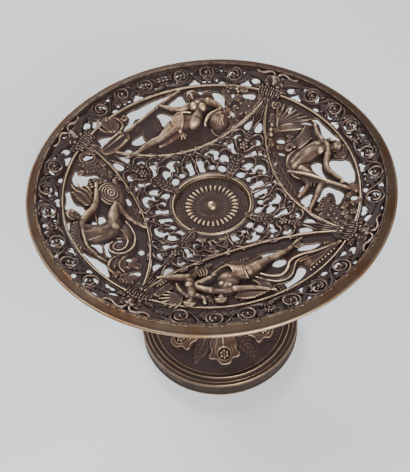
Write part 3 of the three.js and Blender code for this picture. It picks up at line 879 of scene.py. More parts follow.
def field_quarter():
    """The skin of a quarter of the field."""
    wax = Wax()
    edge = field_edge(-RIB / 2 + 0.4)
    inner = ring_arc(FIELD_IN, FIELD_END, 26)[::-1]
    outline = [(0, edge[0][1] + 0.5)] + edge + inner + [(-x, y) for x, y in edge[::-1]]
    openings = [side for line in FIELD_OPENINGS for side in both(line)]
    wax.plate(outline, openings, top=-0.8, smooth=False)
    wax.strand(ring_arc(FIELD_IN + 0.6, 44.6, 26), (0.5,), (-0.5,))
    for line in openings:
        wax.strand(line, (0.42,), (-0.75,), closed=True)
    for line in FIELD_HOOKS:
        for side in both(line):
            hook(wax, *side)
    for root, tip, width, lobes in FIELD_LEAVES:
        for hand in (-1, 1):
            leaf(wax, (hand * root[0], root[1]), (hand * tip[0], tip[1]), width, lobes, 0.1, thick=0.6)
    leaf(wax, (0, 25.6), (0, 40.4), 3.0, 5, 0.4, thick=0.7)
    rosette(wax, 0, 47.4, 2.9, 6, 0.4)
    leaf(wax, (0, 50.6), (0, 60.4), 2.2, 4, 0.3, thick=0.6)
    hook(wax, *around(SEAM_STEM), thick=1.15)
    for fork in (-1, 1):
        hook(wax, *around(((45, 38.0), (45 - 3 * fork, 40.6), (45 - 6.6 * fork, 42.6),
                           (45 - 9.6 * fork, 43.0))), thick=0.8)
    for i in range(-2, 3):
        wax.strand([(i * 2.1, 66.0 + abs(i) * 1.6), (i * 1.5, 74.0), (i * 1.15, 84.0)], (0.35, 0.45, 0.4),
                   (-0.4, 0.2, 0.4))
    return wax.melt(0.36, depth=0.24, lift=0.28, tall=1.6, base=0.17)


field = field_quarter()
for i, turn in enumerate(KNOTS):
    lay(field, f"field_{i + 1}", "dark_bronze", turn, "arabesque_field")

# %% [markdown]
# Four panels fill the spaces between the frame and the straps. Each is a plate with openings cut round a
# figure, and the figure is modelled on it in high relief, about as deep as half its own thickness. The
# figures are the common river, harvest and air spirits of such work. Their heads are plain and calm,
# made of the same few balls and strands, and don't follow any face.

# %% Figure forms
def panel_plate(wax, openings):
    """The panel's ground, between the frame and the strap, with openings that stay clear of both."""
    def clear(x, y):
        across = math.hypot(x, y - STRAP_Y)
        fit = min(1, (STRAP_R - 1.3) / across)
        x, y = x * fit, STRAP_Y + (y - STRAP_Y) * fit
        fit = min(1, (FRAME - 1.3) / math.hypot(x, y))
        return x * fit, y * fit

    outer = ring_arc(FRAME - 0.2, 42.6, 30)
    inner = strap_arc(-0.2, 30, 0.94)
    openings = [[clear(x, y) for x, y in opening] for opening in openings]
    wax.plate(outer + inner[::-1], openings, smooth=False)
    for opening in openings:
        wax.strand(opening, (0.35,), (-0.75,), closed=True)


def head(wax, x, y, z, size, crown, look=0.0, locks=5):
    """A plain head. crown is the direction of its top in degrees, look turns the face aside."""
    up = np.array((math.cos(math.radians(crown)), math.sin(math.radians(crown))))
    side = np.array((up[1], -up[0]))

    def at(a, b, h=0.0):
        return (*(np.array((x, y)) + size * (a * side + b * up)), z + size * h)

    def brush(thick, *points):
        line = [at(*p) for p in points]
        wax.strand([p[:2] for p in line], (thick * size,), [p[2] for p in line])

    wax.ball(*at(0, 0.1), (size * 0.8, size * 0.95, size * 0.8), crown - 90)
    wax.ball(*at(look * 0.2, -0.4, 0.05), (size * 0.52, size * 0.56, size * 0.62), crown - 90)
    face = look * 0.35
    for hand in (-1, 1):
        wax.ball(*at(face + hand * 0.3, -0.22, 0.42), size * 0.24)
        wax.ball(*at(face + hand * 0.26, 0.0, 0.66), size * 0.1)
        brush(0.09, (face + hand * 0.08, 0.14, 0.74), (face + hand * 0.3, 0.2, 0.68),
              (face + hand * 0.5, 0.1, 0.5))
        for i in range(locks):
            brush(0.13, (hand * 0.05, 0.98 - 0.1 * i, 0.35 + 0.08 * i),
                  (hand * (0.5 + 0.08 * i), 0.9 - 0.13 * i, 0.3 + 0.06 * i),
                  (hand * (0.86 + 0.02 * i), 0.45 - 0.16 * i, 0.1), (hand * 0.8, 0.1 - 0.2 * i, 0.0))
    wax.limb((*at(face, 0.14, 0.72), size * 0.1), (*at(face * 1.1, -0.2, 0.84), size * 0.14))
    brush(0.075, (face - 0.17, -0.44, 0.62), (face, -0.42, 0.7), (face + 0.17, -0.44, 0.62))
    wax.ball(*at(face, -0.72, 0.45), size * 0.2)


def open_hand(wax, x, y, z, size, heading_to, spread_by=40, fingers=4):
    """A palm with fingers pointing a way."""
    wax.ball(x, y, z, (size, size * 0.75, size * 0.7), heading_to)
    for i in range(fingers):
        turn = math.radians(heading_to + spread_by * (i / (fingers - 1) - 0.5))
        line = [(x + size * t * math.cos(turn), y + size * t * math.sin(turn)) for t in (0.4, 1.3, 2.1)]
        wax.strand(line, (size * 0.32, size * 0.3, size * 0.22), (z + 0.2, z + 0.3, z - 0.4))


def folds(wax, start, end, count, thick=0.6, rise=(1.5, 2.2, 1.2)):
    """Drapery: strands that run side by side from one line to another line of points."""
    for i in range(count):
        t = i / (count - 1)
        line = [tuple((1 - t) * np.array(a) + t * np.array(b)) for a, b in zip(start, end)]
        wax.strand(line, (thick * 0.7, thick, thick * 0.7), rise)


def stipple(wax, left, low, right, high, step=1.5):
    """Short dashes of a punched ground, none quite in line."""
    for row in range(int((high - low) / step) + 1):
        for i in range(int((right - left) / step) + 1):
            x = left + i * step + 0.6 * math.sin(row * 5.1 + i * 1.7)
            y = low + row * step + 0.5 * math.sin(i * 2.3 + row)
            if math.hypot(x, y - STRAP_Y) < STRAP_R - 1.6:
                wax.strand([(x - 0.3, y), (x + 0.3, y + 0.3 * math.sin(i + row))], (0.34,), (-0.8,))


def waves(wax, left, right, y, rows, thick=0.45):
    """Rows of wavy lines, for water and grass."""
    for row in range(rows):
        count = int((right - left) / 2.4)
        line = [(left + i * 2.4, y - 1.6 * row + 0.5 * (-1) ** (i + row)) for i in range(count + 1)]
        wax.strand(line, (thick,), (-0.5,))


def panel(name, piece, openings, *forms, depth=0.3, lift=0.4, tall=4.5, base=0.18):
    """Melts a ground with openings and what the forms lay on it, and sets it in its place in the dish."""
    wax = Wax()
    panel_plate(wax, openings)
    for form in forms:
        form(wax)
    skin = wax.melt(0.38, depth=depth, lift=lift, tall=tall, base=base)
    lay(skin, piece, "figure_bronze", PANELS[name], f"figure_relief_{name}")


# %% [markdown]
# The back panel: a river spirit leans on an urn that pours water, and holds an oar. A shell and rocks are
# on one side, reeds and leaves on the other. First come the openings, then each group of forms.

# %% Back panel: openings
BACK_OPENINGS = [
    [(-31, 79.5), (-22, 82.8), (-12, 85.6), (-2, 87), (4, 86.8), (-3, 83), (-8.5, 80.4), (-14, 78),
     (-20, 74.4), (-26, 74.6), (-29, 71.5), (-31, 68.7), (-36, 66.2), (-34.5, 71), (-31.5, 73.5),
     (-30, 76)],
    [(8, 84.6), (9.6, 80), (10.5, 76.6), (8, 75.6), (3, 75.8), (-1, 76.6), (-4, 79.4), (-1, 81), (4, 83.5)],
    [(-11, 75.6), (-7.5, 75.2), (-3, 72), (0, 70.8), (0.3, 68.8), (-4, 66.8), (-9.5, 64.4), (-11, 66),
     (-12.5, 72)],
    [(4, 68.8), (7, 69.4), (9.2, 68.8), (7.5, 67.2)],
    [(18.5, 83.5), (24, 82), (28, 80.5), (26, 79.4), (21, 80), (19.4, 81.4)],
    [(28, 79.5), (31, 79), (34, 75.5), (34.5, 71), (32.8, 68), (34, 65), (36, 61), (36.5, 57), (35.2, 54),
     (33.6, 59), (31, 62.5), (30.2, 66), (28.8, 70), (27, 73), (26.8, 76.5)],
    [(20, 63.6), (22, 65), (24, 64.4), (25.4, 63.4), (22, 62.6)],
    [(-48.5, 66), (-44, 65.8), (-41, 64.6), (-46, 61.5), (-51, 57.5), (-54, 56.2), (-57, 60.5), (-55, 64),
     (-52, 65.5)],
    [(-24, 63.5), (-27, 62.5), (-33, 59.5), (-34, 57.5), (-31, 55.5), (-24, 57), (-22, 57.4), (-23.2, 62)],
    [(-46, 50.4), (-42, 51.8), (-37.5, 54.6), (-35.4, 53.2), (-36.4, 50.8), (-40, 49.6), (-44, 48.8)],
    [(-32, 48.2), (-28, 48.9), (-26, 48), (-26.6, 46), (-31, 46.6)],
    [(39, 72), (41, 74), (41.5, 71), (40, 69.5)],
    [(46.5, 70.5), (49, 70), (54, 66.5), (52, 63.5), (49, 65), (46, 68)],
    [(40, 52.5), (41.5, 50.2), (38.5, 50.4)],
]


# %% Back panel: the river spirit
def river_spirit(wax):
    """Body, limbs, head with leaves in the hair, and the cloth over the knees."""
    wax.limb((16.4, 75, 0.6, 2.2), (15.6, 71.4, 1.0, 4.2), (13.8, 66.2, 0.8, 3.6), (10, 61.8, 0.9, 4.2),
             (4, 61.8, 0.8, 5.0), (0, 61.8, 0.9, 5.0))
    wax.limb((9.8, 73, 0.8, 2.2), (16, 74, 1.0, 2.4), (22.8, 72.2, 1.0, 2.5))
    wax.ball(12.4, 70.2, 3.4, 2.7)
    wax.ball(17.3, 67.8, 3.4, 2.8)
    wax.ball(8.6, 60.2, 2.0, (5.4, 4.2, 3.6), 20)
    wax.ball(13.4, 64.4, 2.6, (2.0, 2.4, 1.8), 30)
    wax.limb((1.6, 62.4, 1.3, 5.3), (-5, 60.4, 1.6, 4.9), (-11, 57.4, 1.7, 3.5), (-16, 55, 1.5, 2.3),
             (-20.5, 54.2, 1.2, 2.4), (-26, 52.4, 0.9, 1.9), (-32, 49.6, 0.7, 1.2), (-35.4, 48.2, 0.6, 1.1))
    wax.limb((-35.4, 48.4, 0.6, 1.2), (-38.4, 47.4, 0.5, 1.1), (-41.4, 47, 0.3, 0.7))
    wax.limb((-2, 56.4, 0.0, 3.0), (-8, 53.8, 0.2, 2.1), (-13.4, 51.8, 0.2, 1.6), (-17.2, 51, 0.2, 0.9))
    wax.limb((10.4, 73.2, 1.4, 2.2), (5.6, 72.2, 1.7, 1.9), (0.6, 73.2, 1.7, 1.65), (-4, 76.2, 1.6, 1.35),
             (-8, 78.8, 1.6, 1.05))
    open_hand(wax, -9.2, 79.4, 1.7, 1.2, 215)
    wax.limb((22.8, 72, 1.4, 2.6), (26.8, 68.2, 1.5, 2.1), (28.6, 64.2, 1.6, 1.7), (25, 62.4, 2.2, 1.5),
             (19.8, 61.2, 2.7, 1.2), (16.8, 58.6, 2.8, 0.95))
    open_hand(wax, 15.8, 57.2, 2.6, 1.1, 245)
    wax.limb((15.6, 75.6, 1.0, 1.5), (14.6, 77.6, 1.0, 1.4))
    head(wax, 14.2, 79.6, 1.2, 3.3, 95, -0.5)
    for x, y, turn in ((9.6, 79, 190), (9.2, 82, 160), (10.8, 84.4, 130), (13.4, 85.6, 100),
                       (16.4, 84.8, 70), (18.8, 82.6, 30), (19.4, 79.4, -10), (18.6, 76.4, -40)):
        lean = math.radians(turn)
        leaf(wax, (x - 2.2 * math.cos(lean), y - 2.2 * math.sin(lean)),
             (x + 0.8 * math.cos(lean), y + 0.8 * math.sin(lean)), 1.5, 2, -0.2, thick=0.45)
    for i in range(7):
        wax.strand([(-3.6 + 1.15 * i, 67.4 + 0.3 * i), (-4.4 + 1.2 * i, 64.6),
                    (-5.4 + 1.15 * i, 60.4 - 0.2 * i), (-3.6 + 0.5 * i, 56.4)],
                   (0.4, 0.5, 0.4), (2.6, 6.2, 6.4, 3.6))
    wax.strand([(-3.8, 67.2), (0, 68.2), (4.4, 67.8), (9.4, 66.2)], (0.6, 0.7, 0.5), (2.6, 4.2, 4.0))
    wax.ball(-1.6, 56, 3.4, (1.6, 1.2, 1.2), 40)
    for x, y in ((-4.4, 53), (-2.2, 51.6), (0.2, 51.4), (1.6, 53.2)):
        wax.strand([(-1.4, 56), ((x - 1.4) / 2, (y + 55.6) / 2), (x, y)], (0.5, 0.7, 0.5), (3.2, 2.2, 0.8))
    wax.plate([(19.5, 73.5), (20, 78.4), (22.6, 80.8), (26.6, 79.8), (28, 76), (27, 72), (24, 73.4)],
              top=0.1, thick=2.0)
    for i in range(4):
        wax.strand([(20.6 + 1.2 * i, 74), (21.6 + 1.3 * i, 77.6), (23 + 1.1 * i, 80 - 0.5 * i)], (0.35,),
                   (0.1,))


# %% Back panel: oar and urn
def oar_and_urn(wax):
    """The oar lies across the openings, and the urn on its side pours water over the edge."""
    wax.limb((7.5, 86.8, 0.3, 0.95), (-9.5, 79.2, 1.1, 1.0), (-24, 71.6, 0.8, 1.0), (-37, 64.6, 0.6, 1.15))
    wax.plate([(-36, 66), (-40.5, 65.4), (-47, 61.2), (-53.2, 56.4), (-54, 52.4), (-47.5, 51.6),
               (-41, 54.6), (-35.6, 59), (-33.6, 62.4)], top=1.2, thick=2.4)
    for line in ([(-37, 63.6), (-45, 58.8), (-53, 54)], [(-39.5, 65.4), (-46, 61.4), (-52.4, 56.8)],
                 [(-36, 59.4), (-42, 55), (-48.5, 52.4)]):
        wax.strand(line, (0.9, 0.7, 0.5), (1.5, 1.4, 1.1))
    wax.ball(-38.8, 64.9, 1.3, 1.6)
    wax.ball(25, 57, -0.8, (7.6, 6.6, 5.0), 25)
    wax.limb((30.2, 59.4, -0.2, 3.4), (31.8, 60, 0.2, 2.8))
    for i in range(9):
        turn = math.radians(95 + 22 * i)
        wax.strand([(28.4 + 1.4 * math.cos(turn), 58.6 + 1.2 * math.sin(turn)),
                    (25.2 + 4.6 * math.cos(turn + 0.2), 57 + 4.2 * math.sin(turn + 0.2)),
                    (25 + 7.3 * math.cos(turn + 0.5), 57 + 6.4 * math.sin(turn + 0.5))], (0.4, 0.6, 0.45),
                    (3.9, 2.9, -0.4))
    mouth = [(31.6 + 1.6 * math.cos(a), 59.6 + 4.0 * math.sin(a) - 0.5 * math.cos(a)) for a in full_turn(9)]
    wax.strand(mouth, (0.6,), (2.2,), closed=True)
    folds(wax, [(33.4, 57), (36, 53.4), (31, 49.6), (24, 46)],
          [(31.4, 54.4), (31, 51.4), (26.4, 48.6), (20, 45.8)], 5, 0.45, (1.4, 0.5, 0.1, -0.2))
    wax.strand([(21, 46.4), (19, 49), (18.4, 52.4), (19.6, 55)], (0.4, 0.6, 0.4), (0.4,))


# %% Back panel: the bank
def river_bank(wax):
    """A shell and rocks with a punched ground, and reeds on the other side."""
    leaf(wax, (-42, 66.8), (-44.4, 79.2), 5.2, 6, 0.6, 0.0, 0.75)
    for side in (-1, 1):
        wax.strand([(-42 + side * 1.2, 67), (-42.8 + side * 7, 70.4), (-44 + side * 6.6, 76.4),
                    (-44.6 + side * 1.6, 79.4)], (0.7, 1.0, 0.7), (0.2,))
        wax.strand([(-42 + side * 0.6, 68), (-42.8 + side * 4.2, 71), (-44 + side * 3.6, 75.8),
                    (-44.4, 78.4)], (0.6, 0.8, 0.5), (0.6,))
    wax.strand(winding(-33.2, 76.8, 2.2, 0.9, 190, 1, 0.4), (0.9, 0.6), (0.3,))
    wax.plate([(-24.4, 57.4), (-24.6, 66), (-21, 72.4), (-17.6, 73), (-15, 70.6), (-12.6, 73.2), (-11, 70),
               (-11.4, 62), (-10, 58)], top=-0.1, thick=2.0)
    wax.ball(-25.6, 70.2, -1.0, (5.6, 3.6, 1.6), 35)
    for x in (-15, -13.6, -12.3):
        wax.strand([(x, 71.4), (x - 0.4, 67), (x + 0.2, 62)], (0.35, 0.45), (0.1,))
    stipple(wax, -22, 46, 20, 54)
    stipple(wax, -24, 58.5, -12, 69)
    leaves(wax, (((36.5, 68), (35.6, 79.4), 2.6, 5), ((41.5, 76.4), (36.8, 83), 1.8, 3),
                 ((45, 74.5), (41.4, 79.4), 1.8, 3), ((38.6, 69), (33.8, 66.4), 1.6, 3),
                 ((43, 66.4), (40, 70.4), 2.0, 3), ((50.5, 70.6), (45.4, 74.4), 2.2, 4),
                 ((41, 56), (37.6, 62), 2.8, 4), ((43.4, 57), (44.8, 65.6), 3.6, 5),
                 ((45, 56.4), (51.4, 62.2), 2.8, 4), ((42.4, 55.4), (49, 54.4), 2.2, 4),
                 ((38.4, 63.6), (37.4, 55), 2.2, 4), ((54.6, 60.6), (57.4, 65.4), 1.8, 3),
                 ((36.4, 51.6), (33, 55.8), 1.2, 3), ((42.2, 70.4), (45.2, 66), 1.6, 3)), 0.3, 0.55)
    for x, y in ((39.4, 60.4), (46.6, 58.6), (42.6, 62.6), (38, 74.4), (44, 72.2)):
        wax.ball(x, y, 0.8, 0.9)
    wax.strand([(32, 50.4), (38, 50.6), (45, 54.2), (52, 58.6), (58, 62.4)], (0.7, 0.8, 0.6), (0.2,))


panel("back", "river_relief", BACK_OPENINGS, river_spirit, oar_and_urn, river_bank)

# %% [markdown]
# The right panel: a harvest spirit, seen from behind, sits and bends over a pole. Behind are a ribbed basket
# of fruit and a sheaf, and in front a mass of leaves.

# %% Right panel: openings
RIGHT_OPENINGS = [
    [(9, 85), (16, 85.5), (24, 83.5), (28, 81), (28.5, 79), (25.5, 77.5), (24, 76.4), (18, 75.4), (10, 74),
     (6, 74.6), (4, 76.8), (5, 79), (7.5, 82)],
    [(-31, 80.5), (-24, 83.5), (-14, 86), (-6, 87), (-7, 84.8), (-8.6, 83), (-11.4, 81.4), (-13, 79.6),
     (-18, 80), (-22, 80.8), (-26, 81), (-29, 79.4)],
    [(1.6, 70.6), (9, 69), (17, 69.2), (20, 69), (15, 66.5), (8, 64.7), (3, 64.4), (0.6, 65.4), (0.4, 68)],
    [(21.5, 66), (26, 70), (33, 72.5), (36, 70), (38.5, 65.5), (34, 66.5), (28, 66.5), (27, 64.5), (30, 62),
     (30, 57), (26, 60.5)],
    [(21.5, 57), (26, 54.5), (30.5, 50.5), (30, 49), (26, 48.5), (22.5, 49.5), (21.5, 53)],
    [(13, 56.5), (15, 56), (18, 54), (17, 51), (15.5, 51.5)],
    [(-31, 66), (-28, 72), (-27, 77), (-29.5, 77.5), (-33, 72), (-34, 67)],
    [(-28.5, 55.5), (-25, 58.5), (-23.5, 58), (-24.5, 55), (-27, 53.5)],
    [(-19, 52), (-16, 54.5), (-14.5, 55), (-16, 52), (-18, 51)],
    [(-47, 72), (-44, 70), (-42, 67), (-44, 66.5), (-47, 69)],
    [(-55, 66), (-52, 65), (-50, 63.5), (-53, 63)],
    [(38, 78), (41, 77), (40, 74), (37, 75)],
    [(-14, 47.5), (-10, 46.4), (-12, 45.4)],
]


# %% Right panel: the harvest spirit
def harvest_spirit(wax):
    """A back bent over, with its cloth and the pole that both hands hold."""
    wax.limb((-9, 76.6, 0.6, 2.8), (-10, 72, 0.9, 3.0), (-9.6, 66, 0.8, 2.8), (-7.6, 60, 0.8, 3.0),
             (-4.6, 55.4, 0.6, 3.4))
    wax.limb((-3.6, 76.8, 0.9, 2.6), (-5.6, 72, 1.2, 3.0), (-5.4, 66, 1.2, 2.9), (-3.4, 60, 1.1, 3.2),
             (-1.4, 55.6, 0.8, 3.6))
    wax.limb((-11.6, 77.4, 1.0, 2.0), (-5, 78, 1.4, 2.4), (1.2, 75.8, 1.4, 2.2))
    wax.ball(-6.4, 66.4, 0.9, (12.5, 5.4, 3.3), 100)
    wax.ball(-8.8, 73.2, 2.0, (3.0, 2.2, 2.2), 60)
    wax.ball(-3.6, 73.0, 2.4, (2.2, 2.6, 2.2), 20)
    for i in range(4):
        wax.strand([(-11 + 0.9 * i, 69 - 1.6 * i), (-8.2 + 0.9 * i, 67.4 - 1.8 * i),
                    (-4.8 + 0.6 * i, 67.6 - 1.8 * i)], (0.3,), (3.0, 3.5, 3.5))
    wax.limb((1.2, 75.4, 1.5, 2.2), (6, 72.8, 1.6, 1.9), (10.6, 71.6, 1.6, 1.65), (16.8, 72.6, 1.8, 1.4),
             (22, 74.4, 2.0, 1.1))
    open_hand(wax, 23.6, 74.8, 2.0, 1.3, -20)
    wax.limb((-11.4, 77.2, 1.3, 2.1), (-15.6, 77, 1.4, 1.8), (-20, 77.4, 1.4, 1.6), (-24.4, 78.4, 1.4, 1.2))
    open_hand(wax, -26.2, 78.8, 1.6, 1.2, 190)
    wax.limb((-2.4, 78, 0.9, 1.6), (-2.2, 80, 0.9, 1.4))
    head(wax, -2.4, 82.6, 0.9, 3.4, 85, 0.9)
    wax.ball(-10.4, 81.4, 0.3, 1.6)
    wax.strand([(-9.6, 80.8), (-7.6, 83), (-4.6, 85.8), (0, 87)], (0.8, 1.1, 0.8), (0.8,))
    wax.plate([(-1, 87.2), (4.6, 87), (7.6, 83.4), (6.2, 82), (3.4, 79), (1.2, 82)], top=0.4, thick=2.0)
    for i in range(4):
        wax.strand([(0.6 + 1.2 * i, 86.8 - 0.4 * i), (1.6 + 1.0 * i, 84 - 0.2 * i),
                    (2.0 + 0.6 * i, 81 + 0.2 * i)], (0.4,), (0.6,))
    for i in range(8):
        wax.strand([(-13.4 + 1.3 * i, 63.6 - 0.4 * i), (-12.4 + 1.5 * i, 57.4 - 0.6 * i),
                    (-7.4 + 1.6 * i, 52.2 - 0.1 * i), (0.4 + 1.5 * i, 50.8 + 0.8 * i)],
                   (0.35, 0.5, 0.4), (0.6, 1.8, 2.2, 0.9))
    for i in range(7):
        wax.strand([(1.6 + 0.5 * i, 64.2 - 0.3 * i), (1.4 + 1.5 * i, 60 + 0.1 * i),
                    (2.6 + 2.1 * i, 55 + 0.9 * i), (6 + 2.2 * i, 52.4 + 1.2 * i)],
                   (0.4, 0.5, 0.35), (0.8, 2.6, 2.4, 0.6))
    wax.limb((3, 57.6, 1.0, 3.6), (9, 60, 1.3, 3.2), (14.6, 62.4, 1.4, 2.8), (19.2, 64, 1.4, 2.4))
    wax.limb((19.4, 63.8, 1.4, 2.3), (24, 59.6, 1.1, 2.1), (29.2, 55, 0.8, 1.4), (33, 51.2, 0.6, 1.1))
    wax.limb((33, 51.2, 0.6, 1.2), (35.6, 49.8, 0.4, 1.1), (38.4, 49.4, 0.2, 0.7))
    wax.limb((9, 57, 0.2, 2.6), (14.6, 57, 0.4, 2.0), (18.2, 53.4, 0.4, 1.5), (20.4, 49, 0.3, 1.1))
    wax.limb((-0.6, 50.6, 1.6, 0.9), (10, 58.4, 4.2, 0.9), (20.4, 66, 3.8, 0.9), (27, 72, 2.0, 0.95),
             (35.4, 78.2, 0.9, 1.1))
    wax.ball(32.6, 78.4, 0.6, (4.6, 3.0, 1.9), 10)
    for i in range(6):
        leaf(wax, (30.6 + 0.8 * i, 77.2), (28.8 + 1.9 * i, 80.8 - 0.5 * abs(i - 2)), 0.9, 2, 1.4, thick=0.5,
             web=False)


# %% Right panel: basket and sheaf
def basket_and_sheaf(wax):
    """Ribs and weave of the basket, small scrolls, and the sheaf as a spray of thick hooks."""
    wax.ball(-20, 68, -1.2, (5.4, 7.6, 2.6), 30)
    for i in range(6):
        wax.strand([(-28.4 + 2.2 * i, 74.2 - 0.2 * i), (-24.6 + 2.0 * i, 70.6 - 0.6 * i),
                    (-21.6 + 1.6 * i, 65.6 - 0.6 * i), (-21 + 1.2 * i, 60.8 + 0.4 * i)],
                   (0.6, 0.7, 0.5), (0.5, 1.7, 1.4, 0.3))
        for step in range(4):
            x, y = -24.6 + 2.0 * i + 0.9 * step, 70.6 - 0.6 * i - 1.4 * step
            wax.strand([(x - 0.7, y + 0.1), (x + 0.7, y + 0.5)], (0.3,), (1.5,))
    wax.ball(-30.6, 64.6, -0.6, (4.6, 7.4, 2.8), -25)
    wax.ball(-34.2, 57.6, -0.8, (3.6, 4.6, 2.4), -20)
    for i in range(7):
        wax.strand([(-26 - 0.9 * i, 72.4 - 0.5 * i), (-26.6 - 1.0 * i, 67 - 0.3 * i),
                    (-29.6 - 0.8 * i, 61 - 0.1 * i), (-33.4 - 0.3 * i, 54.6 + 0.2 * i)],
                   (0.35, 0.5, 0.4), (0.9, 2.4, 2.0, 0.9))
    wax.strand(winding(-17.4, 58.2, 3.4, 1.1, 60, 1, 0.3), (0.9, 0.7), (0.6,))
    wax.strand(winding(-17.4, 58.2, 2.2, 0.8, 60, 1, 0.3), (0.6, 0.5), (0.9,))
    leaves(wax, (((-12.6, 54.6), (-9, 60.4), 1.8, 4), ((-22, 51.6), (-19.8, 57), 1.8, 4),
                 ((-24, 61), (-21, 59), 1.6, 3), ((-9.4, 55.4), (-13.6, 57.8), 1.6, 3)), 0.2, 0.55)
    for i in range(8):
        turn = math.radians(150 - 12.4 * i)
        root = (-36.5, 57)
        tip = (root[0] + 23 * math.cos(turn), root[1] + 23 * math.sin(turn))
        tip = tuple(np.array(tip) * min(1, 84.6 / math.hypot(*tip)))
        hook(wax, root, tuple(0.7 * np.array(root) + 0.3 * np.array(tip)),
             tuple(0.3 * np.array(root) + 0.7 * np.array(tip)), tip, thick=1.5, rise=0.3)
    wax.strand([(-41, 60), (-36.5, 57.6), (-32.4, 56.8)], (1.0,), (1.2,))
    leaf(wax, (-36.6, 58), (-45.6, 54.6), 2.0, 4, 0.3, thick=0.6)
    wax.ball(-37, 62, -0.8, (4.2, 4.6, 1.6))


# %% Right panel: leaves
def harvest_leaves(wax):
    """The leaves and fruit before and behind the spirit, and the ground below."""
    leaf(wax, (38.6, 55.4), (28.8, 64.2), 3.2, 5, 0.5, 1.0, 0.65)
    leaves(wax, (((40, 56), (36.4, 64.6), 2.6, 4), ((42, 56), (43.4, 66.4), 3.0, 5),
                 ((44, 56.4), (50, 63.8), 2.8, 5), ((47, 58), (54.8, 61.4), 2.4, 4),
                 ((40, 54.6), (46.6, 53.8), 2.2, 4), ((38, 54.8), (34.4, 54.2), 1.8, 3),
                 ((43.6, 66), (40.4, 71.8), 2.0, 3), ((47.4, 63.8), (47, 69.2), 2.0, 3),
                 ((34.6, 76.6), (37.4, 70.6), 1.4, 3), ((41.6, 72.6), (44.4, 74.2), 1.6, 3),
                 ((52, 61), (57.4, 64.4), 1.6, 3)), 0.3, 0.58)
    for x, y in ((41.6, 60), (45.6, 60.4), (49.6, 60), (44.6, 57)):
        wax.ball(x, y, 0.9, 0.9)
    wax.strand(winding(-51.4, 63.4, 3.2, 1.2, 200, 1, 0.3), (0.8, 0.6), (0.6,))
    rosette(wax, -43.4, 62, 2.8, 6, 0.8)
    rosette(wax, 49.4, 70.6, 2.2, 5, 0.5)
    for x, y in ((-36, 53.2), (-32.8, 51.8), (-39, 55), (-34.4, 55.6)):
        wax.ball(x, y, 0.3, 1.5)
    for root, tip in (((-46.6, 58.4), (-41.6, 55.6)), ((-30, 50.4), (-24, 48.6)),
                      ((-27.4, 61), (-23.2, 62.8)), ((50, 65.4), (54.6, 66)), ((42, 78), (46, 75))):
        leaf(wax, root, tip, 1.8, 4, 0.3, thick=0.6)
    waves(wax, -20, 33, 48.6, 1, 0.5)
    waves(wax, -16, 30, 46.2, 2, 0.42)


panel("right", "harvest_relief", RIGHT_OPENINGS, harvest_spirit, basket_and_sheaf, harvest_leaves)

# %% [markdown]
# The left panel: a winged spirit whose lower body ends in a serpent's coil reaches for a round shield.
# Acanthus and palmettes fill the ends.

# %% Left panel: openings
LEFT_OPENINGS = [
    [(-42, 77.5), (-35, 81.5), (-27, 84), (-21, 86), (-22, 83.5), (-25, 81.5), (-27, 78.5), (-30, 76.5),
     (-33, 74.3), (-40, 74), (-44, 75)],
    [(-4, 87), (4, 87), (2, 85), (0, 83.5), (-2, 85.5)],
    [(12.5, 86), (20, 84.5), (28, 81.5), (23, 81), (17, 79.8), (15.2, 76.4), (11.5, 75), (12.5, 71.6),
     (10, 72), (8.4, 75.4), (7.4, 78.4), (10.4, 80), (12.8, 82.5)],
    [(-24, 73.6), (-19, 77), (-15.6, 79), (-15.6, 76.5), (-16.4, 73.4)],
    [(-28, 71.4), (-16.8, 71), (-16.6, 66.5), (-19, 67.4), (-21, 68.6), (-25, 68.6), (-28, 69.5)],
    [(-18, 60), (-15.5, 60), (-15.5, 64), (-17, 63)],
    [(-2, 72.5), (0, 74.3), (2.5, 73), (2, 71.6)],
    [(-3, 69.5), (2, 70), (6, 67.6), (1, 65.2), (-1.5, 65.8)],
    [(30, 75.5), (35, 77.5), (41, 75), (43, 73), (39.5, 70.5), (38.5, 67), (38.5, 62.5), (35, 60.5),
     (33.5, 56.5), (32, 59.5), (34.5, 63.5), (35, 67.5), (31.6, 68.8), (30, 72)],
    [(50, 67), (53, 66), (54.5, 62), (52, 60), (50.5, 63)],
    [(11, 48.6), (15, 49.8), (18, 49), (15.5, 47.4), (11.5, 47.6)],
    [(-57, 65), (-54, 62), (-51, 59.5), (-53, 60), (-56, 63)],
    [(-47, 58.5), (-44.8, 61), (-44.6, 64.6), (-42.6, 61), (-43.4, 57)],
    [(-34.5, 60), (-31.5, 62.5), (-31, 59), (-33, 56.5)],
    [(-30, 53.4), (-25, 51.8), (-29, 50.6)],
]


